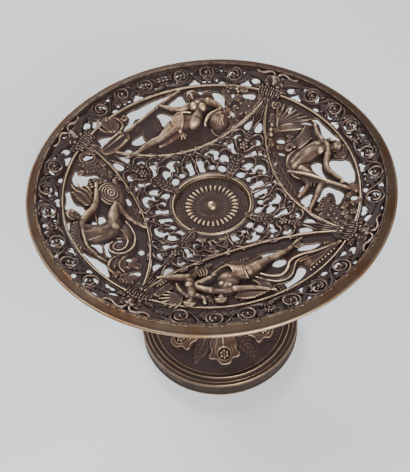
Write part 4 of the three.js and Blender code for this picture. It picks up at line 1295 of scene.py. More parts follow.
# %% Left panel: the winged spirit
def winged_spirit(wax):
    """Body and limbs, and the wing and scarf that stream behind."""
    wax.limb((-12.8, 78.6, 0.0, 2.6), (-13.2, 74, 0.2, 2.9), (-11.8, 68, 0.4, 2.9), (-9, 62.6, 0.5, 2.9))
    wax.limb((-8.6, 79, 0.5, 2.8), (-9.2, 74.4, 0.8, 3.2), (-8, 68.6, 0.9, 3.1), (-5.6, 63.4, 0.9, 3.0))
    wax.limb((-3.6, 78.4, 0.4, 2.7), (-4.8, 74.6, 0.6, 2.7), (-4.8, 70, 0.5, 2.2), (-3, 65.4, 0.5, 2.2))
    wax.limb((-10.4, 79.4, 0.6, 2.2), (-3, 79.8, 0.9, 2.3), (3, 78.4, 0.9, 2.1))
    for i in range(5):
        wax.strand([(-15 + 2.0 * i, 79.2 - 0.2 * i), (-13.8 + 1.7 * i, 73), (-12.6 + 1.5 * i, 67.4)],
                   (0.3, 0.4, 0.3), (2.2, 3.1 + 0.1 * i, 2.8))
    wax.ball(-9.2, 71, 0.8, (9.4, 6.0, 3.2), 100)
    wax.ball(-3.6, 61.8, 1.2, (6.4, 4.8, 3.6), 165)
    wax.limb((2.4, 78, 1.3, 2.2), (6, 74.8, 1.6, 2.1), (10, 70.6, 1.8, 1.95), (16.4, 67.2, 2.2, 1.75),
             (23.4, 65.2, 2.6, 1.35))
    open_hand(wax, 26.4, 64.6, 2.7, 1.5, -15)
    wax.limb((3.6, 79.6, 0.8, 1.5), (5.6, 81.6, 0.8, 1.5))
    head(wax, 7.6, 83.6, 0.7, 3.4, 60, 0.8)
    wax.limb((-6.6, 61.8, 1.0, 3.7), (0, 61.2, 1.5, 3.9), (6, 59, 1.8, 3.1), (10.8, 56.6, 1.7, 2.2))
    wax.limb((10.6, 56, 1.6, 2.2), (5.4, 54.2, 1.3, 2.2), (0.4, 52.2, 1.1, 1.7), (-4, 49.4, 0.9, 1.2))
    wax.limb((-4.4, 49.2, 1.0, 1.4), (-6.6, 46.8, 0.9, 1.3), (-8.4, 44.6, 0.6, 0.8))
    wax.limb((10, 54, -0.2, 2.6), (19, 51.2, 0.0, 1.8), (25, 51.4, 0.4, 1.4), (29.6, 52.6, 0.9, 1.9),
             (32.6, 51.2, 0.5, 1.0))
    leaf(wax, (2.4, 81.6), (-24.4, 80.4), 2.9, 9, 0.3, -8.4, 0.7)
    folds(wax, [(3, 80.6), (-5, 82.6), (-13, 83.4), (-20.4, 82)],
          [(1.4, 83.6), (-5, 85.6), (-12, 86.6), (-18.4, 86.4)], 4, 0.4, (0.6, 1.0, 0.8, 0.2))
    wax.strand([(4.8, 76.4), (-3, 79.6), (-12, 80.8), (-20, 80.4), (-26, 77.2)], (1.1, 1.2, 0.8),
               (2.2, 2.0, 0.8))
    for i in range(5):
        wax.strand([(-20 - 1.4 * i, 81.8 - 0.9 * i), (-24.4 - 1.4 * i, 79.4 - 1.2 * i),
                    (-28 - 1.2 * i, 76 - 0.9 * i)], (0.7, 0.6, 0.4), (0.6, 0.4, -0.2))
    wax.strand([(-28.5, 72.6), (-16, 71.8), (-2, 71), (10, 70.4)], (0.55,), (-0.4, 0.2))


# %% Left panel: serpent tail and shield
def tail_and_shield(wax):
    """The coil with its scales, the ringed shield, and the second wing above it."""
    wax.plate([(-3, 57.6), (-9.6, 53.4), (-18, 52.2), (-25, 54.6), (-29.8, 60), (-29.6, 66.6), (-25.4, 70),
               (-19.8, 69.4), (-16.4, 66), (-17.8, 62.6), (-17, 60), (-10, 60.4)], top=0.5, thick=2.4)
    wax.ball(-12, 56.4, -0.6, (9, 3.6, 3.0), 175)
    wax.strand([(-2.6, 54.6), (-10, 52.6), (-19, 53.2), (-26, 57.4), (-28.4, 63.6), (-25.6, 68.8),
                (-20.4, 68.8), (-17.4, 65.8)], (0.6, 0.7, 0.5), (1.6, 1.9, 1.3))
    wax.strand([(-7, 59.6), (-15, 57.2), (-22, 58.8), (-25.2, 63.2), (-23.4, 66.8), (-20.4, 66.6)],
               (0.5, 0.6, 0.4), (1.9, 1.6, 1.0))
    for i in range(14):
        turn = math.radians(200 + 13 * i)
        wax.strand([(-20 + 4.6 * math.cos(turn), 62 + 4.4 * math.sin(turn)),
                    (-20 + 8.4 * math.cos(turn + 0.16), 62 + 8.4 * math.sin(turn + 0.16))], (0.34,), (0.7,))
    wax.strand(winding(-22, 62.6, 4.0, 1.5, 20, 1, 0.2), (0.7, 0.6), (0.8, 0.4))
    squeeze = 0.84
    for size in (2.3, 4.4, 6.4, 8.4):
        ring = [(20.6 + size * math.cos(a), 57 + squeeze * size * math.sin(a)) for a in full_turn(14)]
        wax.strand(ring, (0.6,), (2.9 - 0.24 * size,), closed=True)
    wax.ball(20.6, 57, -0.6, (9.0, 7.6, 2.6))
    wax.ball(20.6, 57, 2.1, 0.9)
    leaf(wax, (13.4, 70.6), (29.4, 79.4), 4.4, 7, 0.4, -1.6, 0.75)
    for line in (
        [(16, 70.8), (22.4, 73.4), (27, 77.6), (31.6, 78.6)],
        [(18, 69.4), (24.4, 71), (28.4, 74.4), (32.4, 74.6)],
        [(22, 68.6), (27.4, 69.8), (30, 72)],
    ):
        wax.strand(line, (0.8, 0.9, 0.5), (0.8, 1.2, 0.4))


# %% Left panel: acanthus
def acanthus_ends(wax):
    """Scrolls and leaves in both corners."""
    leaf(wax, (30.6, 58), (35.4, 66.6), 1.9, 4, 0.3, 0.8, 0.6)
    leaf(wax, (27.6, 66.8), (34.6, 67.6), 1.4, 3, 0.3, 0.0, 0.5)
    wax.strand(winding(50.4, 63.6, 6.0, 1.15, 250, -1, 0.62), (0.8, 0.7), (0.3,))
    wax.strand(winding(50.6, 63.6, 4.2, 0.8, 250, -1, 0.8), (0.55, 0.5), (0.5,))
    leaves(wax, (((42.6, 58), (41.4, 69.8), 2.6, 5), ((44, 60), (46.6, 71.4), 2.0, 4),
                 ((40.4, 57), (34.8, 57.8), 2.2, 4), ((41, 55.4), (38, 61.4), 1.8, 3),
                 ((43, 55.4), (49, 57.8), 2.0, 4), ((40.6, 69), (38.8, 73.4), 1.6, 3),
                 ((38.4, 53.4), (32.6, 54.8), 1.5, 3), ((54.4, 59.4), (58, 63.4), 1.4, 3)), 0.3, 0.55)
    leaves(wax, (((-31, 66), (-36.8, 72.4), 2.2, 4, 1.0), ((-32, 64.6), (-40.4, 67), 2.4, 4, 1.0),
                 ((-36, 61.6), (-40.6, 55.4), 2.6, 5, 0.4), ((-38.6, 60.4), (-31.6, 55.4), 1.8, 4, 0.4),
                 ((-44.6, 64.8), (-49.8, 70.4), 2.4, 4, 0.6), ((-45.6, 63.8), (-53, 65.4), 2.4, 4, 0.4),
                 ((-46, 62.8), (-50.4, 60.6), 1.7, 3, 0.2), ((-42, 68), (-44.6, 73), 1.8, 3, 0.0),
                 ((-39.6, 63.6), (-36, 57.6), 1.6, 3, 0.0)), 0.3, 0.58)
    wax.strand([(-28.4, 64), (-30.4, 68.6), (-34.6, 72.2), (-39.6, 72.8), (-43.6, 70)], (0.9, 1.0, 0.6),
               (0.4, 0.9, 0.4))
    wax.strand([(-29, 60), (-33, 65), (-38, 67), (-42.6, 65.6)], (0.8, 0.9, 0.6), (0.4, 0.8, 0.4))
    wax.strand(winding(-47.4, 66.4, 3.0, 1.0, 330, 1, 0.3), (0.7, 0.5), (0.6,))
    waves(wax, -6, 9, 46.6, 2)


panel("left", "winged_relief", LEFT_OPENINGS, winged_spirit, tail_and_shield, acanthus_ends)

# %% [markdown]
# The front panel: an air spirit flies with a scarf that billows over its back, and a small winged child
# goes before it.

# %% Front panel: openings
FRONT_OPENINGS = [
    [(-29.5, 76.5), (-26, 81.2), (-18, 84.6), (-10.5, 86.2), (-8.4, 83.4), (-9.4, 80.2), (-14, 80.8),
     (-18.6, 80.6), (-22.4, 78), (-25.4, 74.2), (-27.6, 73)],
    [(-45, 61), (-40, 63.6), (-36, 62.8), (-31.6, 59.6), (-36, 57.6), (-42, 59.6)],
    [(-22.4, 66), (-16, 67.4), (-14.6, 64), (-22, 62.2)],
    [(-26, 56.8), (-20, 57), (-12, 57.2), (-9.2, 53), (-14, 52.8), (-22, 54.6)],
    [(-5, 52), (-2, 53), (0, 52), (-3, 51)],
    [(52, 61.5), (57.4, 65.2), (57, 63), (53, 60.5)],
    [(-5.5, 71), (-3.5, 69.5), (-4.5, 73)],
    [(-52, 64.5), (-50, 63), (-48, 62.5)],
]


# %% Front panel: the air spirit
def air_spirit(wax):
    """A flying body, with the cloth that streams from its waist."""
    wax.limb((19, 75, 0.5, 2.2), (15.8, 72, 0.6, 3.6), (12.4, 68, 0.4, 3.4), (9, 65.4, 0.6, 3.8),
             (4, 65, 0.9, 4.6), (0.4, 65, 0.9, 4.6))
    wax.ball(13.4, 69.2, 0.9, (8.6, 6.0, 3.0), 50)
    wax.ball(12.6, 65, 0.7, (6.4, 4.8, 3.4), 20)
    wax.limb((11.6, 75.4, 1.0, 2.1), (18.2, 75, 1.1, 2.2), (24.4, 72.4, 1.1, 2.2))
    wax.ball(13.8, 72.4, 2.2, 2.0)
    wax.ball(17.4, 70.0, 2.4, 2.1)
    wax.ball(11, 66, 1.2, (4.6, 3.6, 3.0), 30)
    wax.limb((12, 75.6, 1.4, 2.3), (6, 77.6, 1.5, 2.0), (0, 80.2, 1.4, 1.6), (-5, 83.4, 1.2, 1.15))
    open_hand(wax, -6.6, 84.2, 1.2, 1.2, 150)
    wax.limb((24.6, 72, 1.6, 2.3), (28.6, 69, 1.7, 2.0), (30.8, 65.4, 1.8, 1.7), (26.6, 63.4, 2.2, 1.4),
             (21.4, 61.8, 2.2, 1.1))
    open_hand(wax, 19.8, 60.8, 2.0, 1.2, 200)
    wax.limb((19.6, 76, 1.0, 1.4), (20.8, 78, 1.0, 1.4))
    head(wax, 21.6, 80, 1.0, 3.3, 75, -0.4)
    wax.limb((0.6, 65, 1.4, 4.5), (-5.2, 63.4, 1.7, 3.8), (-10.6, 61.2, 1.6, 2.5), (-13.4, 60.2, 1.5, 2.1),
             (-18.6, 59.6, 1.3, 2.2), (-25.6, 58.2, 0.9, 1.5), (-30.6, 56, 0.8, 1.05))
    wax.limb((-30.6, 56, 0.8, 1.3), (-33.6, 54.4, 0.9, 1.4), (-36.8, 52.6, 0.6, 0.8))
    for i in range(4):
        wax.strand([(-31.6 - 0.9 * i, 55.2), (-31 - 1.2 * i, 57.6), (-32.4 - 1.5 * i, 59.4 - 0.4 * i)],
                   (0.5, 0.5, 0.3), (1.2, 1.2, 0.6))
    wax.limb((1, 60.6, 0.0, 3.4), (-5.6, 57.4, 0.0, 2.2), (-10.6, 55.6, 0.0, 1.5))
    for i in range(6):
        wax.strand([(2.2 + 1.2 * i, 70.8 - 0.5 * i), (2.8 + 1.2 * i, 67.2 - 0.9 * i),
                    (2.2 + 1.5 * i, 62 - 0.8 * i), (5 + 2.0 * i, 57.6 - 0.2 * i),
                    (11 + 1.8 * i, 56.4 + 0.4 * i)],
                   (0.4, 0.5, 0.5, 0.4), (1.8, 5.0, 4.6, 1.8, 0.6))
    for i in range(7):
        wax.strand([(0.4 + 0.9 * i, 60.4 - 0.2 * i), (-0.6 + 1.3 * i, 55.8),
                    (-2 + 2.2 * i, 51.2 + 0.1 * i)], (0.4, 0.6, 0.4), (2.2, 1.2, 0.0))


# %% Front panel: the scarf
def scarf(wax):
    """A cloth that billows over the back, and a string of beads along the frame."""
    wax.plate([(-2, 70.4), (-7.4, 76.0), (-13, 79.2), (-19.4, 78.6), (-23.4, 74.6), (-26.6, 70),
               (-32, 68.6), (-42, 69.8), (-52, 69), (-52.4, 66.6), (-42, 66), (-31, 64.4), (-25, 65.4),
               (-20.6, 70.4), (-17, 73), (-12.6, 72.6), (-7, 69), (-3, 66.4)], top=0.4, thick=2.2)
    for rise, thick, line in ((1.0, 0.7, [(-2, 70.4), (-8, 76.8), (-14, 79.8), (-19.8, 78.6), (-24, 73.4),
                                          (-27.4, 69.2), (-34, 68.2)]),
                              (1.5, 0.9, [(-5, 69.4), (-10.6, 74.6), (-15.6, 75.8), (-20, 73), (-23.6, 68),
                                          (-29.4, 66), (-40, 67.4), (-51, 67.6)]),
                              (0.7, 0.45, [(-4, 71), (-9.4, 76), (-14.8, 77.8), (-20, 76), (-24, 70.8),
                                           (-29, 67.4)]),
                              (0.7, 0.45, [(-4, 67.6), (-9, 72), (-14.6, 73.8)])):
        wax.strand(line, (thick * 0.7, thick, thick * 0.6), (rise,))
    for i in range(5):
        wax.strand([(-1.6 - 1.3 * i, 81.6 + 0.5 * i), (-1.8 - 1.2 * i, 77 + 0.4 * i),
                    (0.2 - 1.0 * i, 71.4 + 0.5 * i)], (0.5, 0.7, 0.5), (0.4, 0.8, 0.2))
    folds(wax, [(-4, 85.4), (4, 82), (11, 78)], [(4, 86.4), (10, 84.4), (14, 81)], 5, 0.55, (1.6, 1.2, 0.6))
    for i in range(9):
        wax.ball(-31.4 - 2.2 * i, 78.8 - 1.05 * i, 0.2, 0.75)
    folds(wax, [(-30.4, 77), (-40, 72.6), (-49.6, 68.6)], [(-30, 72.4), (-38, 70.4), (-48, 68)], 4, 0.5,
          (0.2,))
    wax.limb((-29, 69.6, 0.2, 0.9), (-42, 69.8, 0.3, 0.9), (-54, 67, 0.4, 1.2))


# %% Front panel: the winged child
def winged_child(wax):
    """A small figure with a wing of feathers."""
    head(wax, 38.2, 77.2, 1.1, 3.3, 60, -0.3)
    wax.limb((36.6, 74.4, 0.8, 1.8), (35.4, 71.2, 0.9, 3.0), (34.4, 66.4, 1.0, 2.8), (33.4, 61.6, 0.9, 3.1),
             (33.6, 58.4, 0.8, 3.1))
    wax.ball(34.6, 64.4, 2.4, (2.4, 2.8, 2.2))
    wax.limb((32.6, 73.2, 1.1, 1.8), (30.2, 76.4, 1.1, 1.5), (30.6, 80, 1.0, 1.0))
    wax.limb((37.6, 72.2, 1.1, 1.9), (40, 67.6, 1.1, 1.6), (40.6, 63, 1.1, 1.2))
    open_hand(wax, 40.6, 61.6, 1.2, 1.0, 270)
    wax.limb((33.6, 57.6, 0.9, 3.2), (38, 55.4, 1.0, 2.6), (42, 54, 0.9, 1.9), (46, 52.4, 0.8, 1.3),
             (49, 51.6, 0.6, 0.9))
    wax.limb((31.6, 58, 0.2, 2.4), (27.4, 54.4, 0.2, 1.7), (25.8, 50, 0.2, 1.2))
    for i in range(7):
        turn = math.radians(62 - 17 * i)
        wax.strand([(40.4, 70.6), (40.4 + 6 * math.cos(turn), 70.6 + 6 * math.sin(turn)),
                    (40.4 + (11 + 0.5 * i) * math.cos(turn - 0.15),
                     70.6 + (9.4 + 0.4 * i) * math.sin(turn - 0.15))], (0.7, 0.9, 0.6), (0.6, 0.8, 0.2))
    folds(wax, [(43, 61.6), (48, 64.4), (53, 66.4)], [(44, 57.4), (49, 60.4), (55, 64.4)], 5, 0.55, (0.4,))


# %% Front panel: the ground
def front_ground(wax):
    """Plain folds and leaves in the low places, and a punched ground."""
    folds(wax, [(23, 59.4), (21.4, 55.4), (21.6, 51.4)], [(26.6, 58.6), (26.6, 54.6), (27.6, 50.4)], 4, 0.6,
          (1.6, 1.4, 0.6))
    leaves(wax, (((6, 81.8), (12.6, 84.8), 1.5, 3), ((27.6, 74.6), (26, 81), 1.5, 3),
                 ((45, 54.4), (51.6, 58), 1.6, 3), ((47, 72), (49.6, 75.4), 1.2, 2),
                 ((10, 50.8), (17, 53.8), 1.7, 4), ((17, 49.6), (22.4, 51), 1.4, 3),
                 ((-46, 63), (-52, 66), 1.4, 3)), 0.2, 0.5)
    stipple(wax, 4, 48.6, 19, 52.6)


panel("front", "air_relief", FRONT_OPENINGS, air_spirit, scarf, winged_child, front_ground,
      depth=0.28, lift=0.42, tall=4.6, base=0.17)

# %% [markdown]
# A casting covers each knot, where the frame and two straps meet. It has a collar of flutes under a row of
# beads, like a tassel, and above it a small mask between the wings of the border. Two horns curl away over
# its head. The face is plain and calm, the same in all four.

# %% Knot castings
def knot():
    """The skin of a knot casting."""
    wax = Wax()
    wax.plate([(-4.4, 79.4), (-7.2, 85), (-7.8, 90.4), (-5.6, 93.4), (-5.0, 98), (-6.2, 102.6),
               (6.2, 102.6), (5.0, 98), (5.6, 93.4), (7.8, 90.4), (7.2, 85), (4.4, 79.4), (0, 77.2)],
               [[(-3.8, 99.8), (-2.4, 102), (-4.6, 102.2)], [(3.8, 99.8), (2.4, 102), (4.6, 102.2)]],
               top=0.2, thick=2.4)
    for i in range(-4, 5):
        dip, short = 0.1 * i * i, 1.7 * (i % 2)
        hook(wax, (1.6 * i, 91.4 - dip), (1.75 * i, 88.0 - dip), (1.5 * i, 83.4 + dip + short), thick=0.8,
             rise=1.0 + 0.3 * (i % 2))
        wax.ball(1.9 * i, 91.2 - dip, 1.2, 0.75)
    for i in range(-1, 2):
        hook(wax, (1.9 * i, 85), (1.6 * i, 81), (1.5 * i, 77.8), thick=0.55, rise=0.7)
    for side in (-1, 1):
        wax.strand([(side * 0.8, 99.4), (side * 2.8, 102.0), (side * 6.2, 101.9), (side * 9.4, 100.2),
                    (side * 12.6, 100.2), (side * 14.2, 101.6), (side * 12.8, 102.2)],
                   (0.8, 0.95, 0.85, 0.4), (1.6, 1.5, 1.3, 0.9))
        for i in range(4):
            wax.strand([(side * (2.4 + 0.4 * i), 98.6 - 1.3 * i), (side * (4.8 + 0.3 * i), 98.8 - 1.2 * i),
                        (side * (6.8 - 0.2 * i), 97.6 - 1.1 * i)], (0.6, 0.7, 0.4), (1.2, 1.2, 0.4))
        wax.ball(side * 3.4, 92.9, 0.8, (1.7, 1.2, 1.2), side * 20)
    head(wax, 0, 95.8, 1.0, 3.4, 90, 0.0, 4)
    return wax.melt(0.34, depth=0.28, lift=0.6, tall=4.0, base=0.12)


knot_skin = knot()
for i, turn in enumerate(KNOTS):
    lay(knot_skin, f"knot_casting_{i + 1}", "dark_bronze", turn, f"knot_mask_{i + 1}")

# %% [markdown]
# In the middle is a sunk plate of petals, like a daisy, inside a plain moulded ring with four studs. The
# rows of petals are strands on a thin disc. The button is the head of the bolt that
# ties dish, stem and foot together.

# %% Medallion
plate_low, plate_top = levels("medallion_plate")
ring_low, ring_top = levels("medallion_ring")


def petal_plate():
    """The skin of the sunk plate, rows of petals between fine rings."""
    wax = Wax()
    edge = medal_in - SEAM
    wax.plate(ring_arc(edge, 180, 73)[:-1], [ring_arc(2.9, 180, 17)[:-1]], top=-0.5, thick=1.4, smooth=False)

    def ring_of(count, start, end, thick, rise, offset=0.0):
        for i in range(count):
            turn = 360 * (i + offset) / count
            wax.strand([on_ring(turn, start), on_ring(turn, (start + end) / 2), on_ring(turn, end)], thick,
                       rise)

    ring_of(60, 18.2, edge - 0.9, (0.4, 0.55, 0.5), (-0.7, -0.55, -0.6))
    ring_of(32, 12.0, 16.4, (0.6, 1.0, 0.95), (-0.3, 0.0, -0.1))
    ring_of(32, 16.8, 17.8, (0.35, 0.3), (-0.6,), 0.5)
    ring_of(34, 6.8, 10.8, (0.35, 0.5, 0.45), (-0.5, -0.25, -0.5))
    ring_of(20, 4.4, 6.2, (0.35, 0.45, 0.3), (-0.3,))
    for away, thick in ((edge - 0.3, 0.4), (17.6, 0.3), (11.3, 0.35), (3.9, 0.6)):
        wax.strand(ring_arc(away, 180, 37)[:-1], (thick,), (-0.4,), closed=True)
    return wax.melt(0.3, back=plate_low - plate_top, depth=0.36, lift=0.34, tall=1.0, base=0.3)


lay(petal_plate(), "petal_plate", "figure_bronze", 0, "medallion_plate", level=plate_top)
stand(lathe([
    (medal_in, ring_low), (medal_out, ring_low), (medal_out, ring_top - 1.9),
    (medal_out - 0.3, ring_top - 0.9), (medal_out - 1.0, ring_top - 0.1), (medal_out - 1.6, ring_top),
    (medal_in + 0.9, ring_top - 0.3), (medal_in + 0.4, ring_top - 1.2), (medal_in, ring_top - 1.6),
], fillet=0.4, spacing=0.25, steps=200, depth=0.3, base=0.62), "medallion_moulding", "polished_bronze",
      "medallion_ring")
bolt_low, bolt_top = levels("tie_bolt")
stand(lathe([
    (0, bolt_top + 0.5), (1.6, bolt_top + 0.3), (2.9, bolt_top - 0.4), (3.8, bolt_top - 1.8),
    (3.9, plate_top + 0.2), (2.6, plate_top + 0.3), (2.6, bolt_low + 10), (2.45, bolt_low + 9),
    (2.45, bolt_low + 0.5), (2.0, bolt_low), (0, bolt_low),
], fillet=0.6, spacing=0.5, steps=48, closed=False, base=0.8), "button_bolt", "polished_bronze", "tie_bolt")


def stud(name):
    """A round stud with a boss, in the room of a clasp."""
    low, high = (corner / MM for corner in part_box(name))
    middle = (low + high) / 2
    wax = Wax()
    wax.ball(middle.x, middle.y, low.z + 0.4, ((high.x - low.x) / 2, (high.y - low.y) / 2, 0.9))
    wax.ball(middle.x, middle.y, high.z - 0.8, 0.9)
    return wax.melt(0.2, back=low.z - 0.2)


for i in range(4):
    name = f"medallion_clasp_{i + 1}"
    stand(stud(name), f"stud_{i + 1}", "polished_bronze", name)

# %% [markdown]
# The photo looks down into the dish, which hides the stem. It is rebuilt as the usual baluster of such a
# piece: a moulded collar, a leaf-fluted calyx, a knop with lobes and a spreading socket. Each is turned
# first. Then its lobes are raised on the turned skin by moving each point outward, in a wave round the axis.

# %% Turned and lobed pieces
def lobed(mesh, count, height, low, high, sharp=1.0, lean=0.0):
    """Raises lobes round a turned mesh in millimetres between two levels, and renews its wear and painted
    shade.
    """
    size = len(mesh.vertices)
    place = np.empty(size * 3)
    mesh.vertices.foreach_get("co", place)
    place = place.reshape(-1, 3)
    away = np.hypot(place[:, 0], place[:, 1])
    around_it = np.arctan2(place[:, 1], place[:, 0]) + lean * (place[:, 2] - low) / (high - low)
    swell = np.sin(np.pi * np.clip((place[:, 2] - low) / (high - low), 0, 1)) ** 0.5
    wave = np.abs(np.cos(around_it * count / 2)) ** sharp
    outer = np.clip((away - 7.0) / 1.5, 0, 1)
    factor = 1 + height * swell * (wave - 0.6) * outer / np.maximum(away, 1)
    place[:, :2] *= factor[:, None]
    mesh.vertices.foreach_set("co", place.ravel())
    mesh.update()
    mesh.attributes.remove(mesh.attributes["wear_and_shade"])
    add_wear_and_shade(mesh, steps=14, depth=0.3, base=0.3)
    return mesh


# %% Collar under the dish
ROD_HOLE = reach("dish_collar")[0]
low, high = levels("dish_collar")
out = reach("dish_collar")[1]
stand(lathe([
    (ROD_HOLE, low), (out - 4.2, low), (out - 3.4, low + 1.3), (out - 1.4, low + 1.9), (out, low + 2.8),
    (out - 0.2, high - 0.9), (out - 0.9, high), (ROD_HOLE, high),
], spacing=0.5, steps=120), "collar_moulding", "stem_bronze", "dish_collar")

# %% Calyx
low, high = levels("stem_calyx")
out = reach("stem_calyx")[1]
tall = high - low
calyx = lathe([
    (ROD_HOLE, low), (6.4, low), (7.5, low + 0.8), (7.5, low + 2.0), (6.3, low + 2.8), (6.3, low + 3.6),
    (8.2, low + tall * 0.24), (11.6, low + tall * 0.5), (14.6, low + tall * 0.74),
    (15.2, low + tall * 0.83), (14.2, low + tall * 0.86), (17.2, low + tall * 0.93), (out, high - 1.1),
    (out, high), (ROD_HOLE, high),
], fillet=1.2, spacing=0.6, steps=200)
stand(lobed(calyx, 16, 2.4, low + 3.4, low + tall * 0.85, 0.8), "fluted_calyx", "stem_bronze", "stem_calyx")

# %% Knop
low, high = levels("stem_knop")
out = reach("stem_knop")[1]
tall = high - low
knop = lathe([
    (ROD_HOLE, low), (7.5, low), (7.5, low + 1.2), (5.8, low + 2.4), (5.6, low + 4),
    (6.4, low + tall * 0.2), (9.6, low + tall * 0.36), (13.4, low + tall * 0.52),
    (out - 0.4, low + tall * 0.62), (out - 0.4, low + tall * 0.68), (13.2, low + tall * 0.78),
    (9.8, low + tall * 0.85), (6.6, low + tall * 0.88), (6.2, low + tall * 0.92), (8.4, low + tall * 0.95),
    (8.4, high - 0.6), (7.8, high), (ROD_HOLE, high),
], fillet=1.6, spacing=0.6, steps=200)
stand(lobed(knop, 12, 2.6, low + tall * 0.2, low + tall * 0.86, 0.7), "lobed_knop", "stem_bronze",
      "stem_knop")

# %% Socket
low, high = levels("stem_socket")
out = reach("stem_socket")[1]
tall = high - low
socket = lathe([
    (ROD_HOLE, low), (out - 0.5, low), (out, low + 1.0), (out - 0.2, low + 2.6), (out - 1.6, low + 3.2),
    (out - 1.9, low + 4.2), (out - 3.0, low + 5.2), (7.6, low + tall * 0.5), (6.4, low + tall * 0.72),
    (6.2, low + tall * 0.82), (8.2, low + tall * 0.88), (8.4, low + tall * 0.93), (7.0, low + tall * 0.96),
    (9.0, high - 0.4), (ROD_HOLE, high),
], fillet=1.0, spacing=0.5, steps=160)
stand(lobed(socket, 12, 0.9, low + 4.0, low + tall * 0.72, 0.8), "spreading_socket", "stem_bronze",
      "stem_socket")

# %% [markdown]
# The foot is a low cone with six wide cups on it and a lance-shaped leaf between each two. A cup has a
# broad lobed lip, rubbed to gold and painted lighter as a highlight, and holds a cluster of berries. They are
# modelled as wax on a flat ring, which is then draped on the cone. A thin torus and fine mouldings close it.

# %% Foot cone
cone_high = levels("foot_cone")[1]
CONE_LINE = np.array([(3, 32), (9.5, 31.8), (13, 30.4), (16.5, 25.2), (21, 20.8), (27, 17.6), (34, 15.2),
                      (41, 13.4), (45.7, 12.4), (47.5, 12.2)])
CONE_TOP = CONE_LINE[0, 1]
CONE_EDGE = 46.0
CUPS = 6
CUP_LIP = [(0, 41.2), (-3.4, 40.4), (-5.4, 37.2), (-10.6, 35.4), (-8.6, 31), (-9.2, 26.6), (-6.8, 22),
           (-4, 18.4), (0, 18)]
CUP_HOLLOW = [(0, 38.4), (-3.4, 37), (-4.6, 34), (-3.4, 30.6), (0, 29.4)]
LANCE_LEAF = [(0, 42.6), (-1.6, 39.4), (-4.2, 34.4), (-4.8, 28.6), (-3.6, 21), (-2.2, 15), (0, 14)]


def cone_height(away):
    """Level of the cone's upper face at these distances from the axis."""
    return np.interp(away, CONE_LINE[:, 0], CONE_LINE[:, 1]) - CONE_TOP + cone_high


def whole(points):
    """An outline from the left half of it, drawn from the middle round to the middle."""
    return points + [(-x, y) for x, y in points[-2:0:-1]]


# %% Foot: leaves and cups
def turned(points, turn):
    """Points turned clockwise about the axis, by an angle in radians."""
    cos, sin = math.cos(turn), math.sin(turn)
    return [(x * cos + y * sin, y * cos - x * sin) for x, y in points]


def lance(wax, turn):
    """A leaf with a raised edge, a rib and seven pairs of veins."""
    edge = turned(whole(LANCE_LEAF), turn)
    wax.plate(edge, top=1.0, thick=1.6)
    wax.strand(edge, (0.4,), (0.9,), closed=True)
    wax.strand(turned([(0, 14), (0, 22), (0, 32), (0, 42.2)], turn), (0.6, 0.7, 0.4), (1.2, 1.4, 1.2, 0.9))
    for step in range(7):
        for side in (-1, 1):
            end = side * (4.2 - 0.5 * abs(step - 3))
            vein = [(0, 18 + 3.2 * step), (side * 2.2, 20 + 3.2 * step), (end, 21.6 + 3.2 * step)]
            wax.strand(turned(vein, turn), (0.5, 0.45), (1.3, 1.0))


def cup(wax, turn):
    """A lobed lip round a hollow, with flutes below it and seven berries in it."""
    lip, hollow = (turned(whole(line), turn) for line in (CUP_LIP, CUP_HOLLOW))
    wax.plate(lip, [hollow], top=2.3, thick=2.8)
    wax.strand(lip, (0.45,), (2.1,), closed=True)
    wax.strand(hollow, (0.45,), (2.1,), closed=True)
    wax.strand(turned([(0, 17), (0, 23), (0, 29)], turn), (1.0, 1.2, 0.6), (1.6, 2.2, 2.2))
    for side in (-1, 1):
        flute = [(side * 2, 19), (side * 4.4, 25), (side * 6.0, 32), (side * 5.6, 35.4)]
        wax.strand(turned(flute, turn), (0.5, 0.6, 0.4), (2.1, 2.3, 2.1))
        flute = [(side * 3.4, 20.6), (side * 7, 27), (side * 8.6, 33.6)]
        wax.strand(turned(flute, turn), (0.5, 0.5, 0.3), (2.1, 2.2, 2.0))
    ring = [(2.35 * math.sin(a), 33.9 + 2.35 * math.cos(a)) for a in full_turn(6)]
    for x, y in turned([(0, 33.9)] + ring, turn):
        wax.ball(x, y, 1.5, 1.05)


def foot_leaves():
    """The skin of the cone: a flat ring of cups and leaves, draped on it."""
    wax = Wax()
    wax.plate(ring_arc(CONE_EDGE, 180, 73)[:-1], [ring_arc(12.6, 180, 25)[:-1]], top=0.0, thick=1.2,
              smooth=False)
    for i in range(CUPS):
        lance(wax, math.radians(60 * i + 27.5))
        cup(wax, math.radians(60 * i - 2.5))
    skin = wax.melt(0.42, back=-1.2, depth=0.7, lift=0.5, tall=2.6, base=0.06)
    place = np.empty(len(skin.vertices) * 3)
    skin.vertices.foreach_get("co", place)
    place = place.reshape(-1, 3)
    place[:, 2] += cone_height(np.hypot(place[:, 0], place[:, 1]))
    skin.vertices.foreach_set("co", place.ravel())
    return skin


stand(foot_leaves(), "foot_leaves", "figure_bronze", "foot_cone")

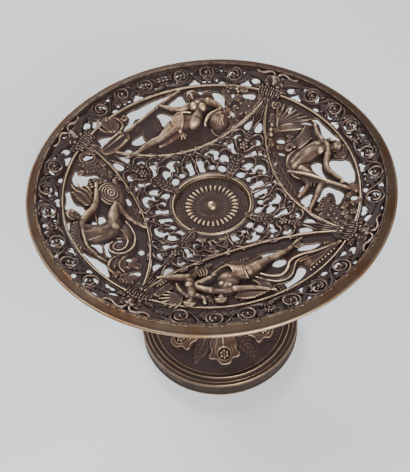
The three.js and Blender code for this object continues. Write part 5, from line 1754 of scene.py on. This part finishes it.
# %% Foot: mouldings
plinth_top = levels("foot_band")[1]
band_in, band_out = reach("foot_band")
cone_out = band_in - SEAM
stand(lathe([
    (ROD_HOLE, cone_high - 3), (11.6, cone_high - 3), (15, 22), (20.6, 17.4), (27, 14.4), (34, 12.2),
    (44, 9.4), (cone_out, 9), (cone_out, plinth_top - 0.6), (54.4, plinth_top - 0.1),
    (53.6, plinth_top + 0.1), (52.6, plinth_top - 0.2), (51.5, 13.9), (51.2, 14.7), (50.6, 14.7),
    (50.3, 13.9), (49.4, 12.6), (48.0, 12.2), (47.3, 12.5), (46.8, 12.9), (46.3, 12.2), (44.4, 11.6),
    (34, 13.8), (27, 16.0), (20.6, 19.2), (16.0, 23.8), (13.0, 29.0), (12.8, 31.0), (11.8, 31.7),
    (10.2, 31.6), (9.6, cone_high), (ROD_HOLE, cone_high),
], fillet=0.4, spacing=0.45, steps=180, depth=0.1, base=0.04), "foot_mouldings", "stem_bronze", "foot_cone")

# %% [markdown]
# The foot stands on a plain band. A low bead at its bottom, a lip at its top and a fine groove in its upper
# face are its only lines. Its edges are rubbed a little and painted slightly lighter as a highlight, and the
# rest stays brown.

# %% Foot band
stand(lathe([
    (band_in, 0), (band_out - 0.6, 0), (band_out, 0.7), (band_out, 1.8), (band_out - 0.5, 2.3),
    (band_out - 0.5, 10.2), (band_out - 0.1, 10.8), (band_out - 0.1, 12.2), (band_out - 0.7, plinth_top),
    (55.9, plinth_top), (55.5, plinth_top - 0.4), (55.1, plinth_top), (band_in, plinth_top),
], fillet=0.35, spacing=0.35, steps=200, depth=0.25, base=0.3), "foot_band_turned", "stem_bronze",
      "foot_band")

# %% [markdown]
# A washer and a six-sided nut under the foot hold the bolt. The nut is a prism, extruded from a circle of
# six points, with its edges bevelled.

# %% Washer and nut
low, high = levels("foot_washer")
out = reach("foot_washer")[1]
stand(lathe([(ROD_HOLE, low), (out, low), (out, high), (ROD_HOLE, high)], spacing=0.4, steps=90), "washer",
      "stem_bronze", "foot_washer")
low, high = levels("foot_nut")
out = reach("foot_nut")[1]
shape = bmesh.new()
bmesh.ops.create_circle(shape, cap_ends=True, segments=6, radius=out)
bmesh.ops.translate(shape, verts=shape.verts, vec=(0, 0, low))
top = bmesh.ops.extrude_face_region(shape, geom=shape.faces[:])
bmesh.ops.translate(shape, verts=[v for v in top["geom"] if isinstance(v, bmesh.types.BMVert)],
                    vec=(0, 0, high - low))
bmesh.ops.recalc_face_normals(shape, faces=shape.faces)
bmesh.ops.bevel(shape, geom=shape.edges[:], offset=0.35, offset_type="OFFSET", segments=3, profile=0.5,
                affect="EDGES", material=-1)
nut = bpy.data.meshes.new("nut")
shape.to_mesh(nut)
shape.free()
add_wear_and_shade(nut)
stand(nut, "nut", "stem_bronze", "foot_nut")
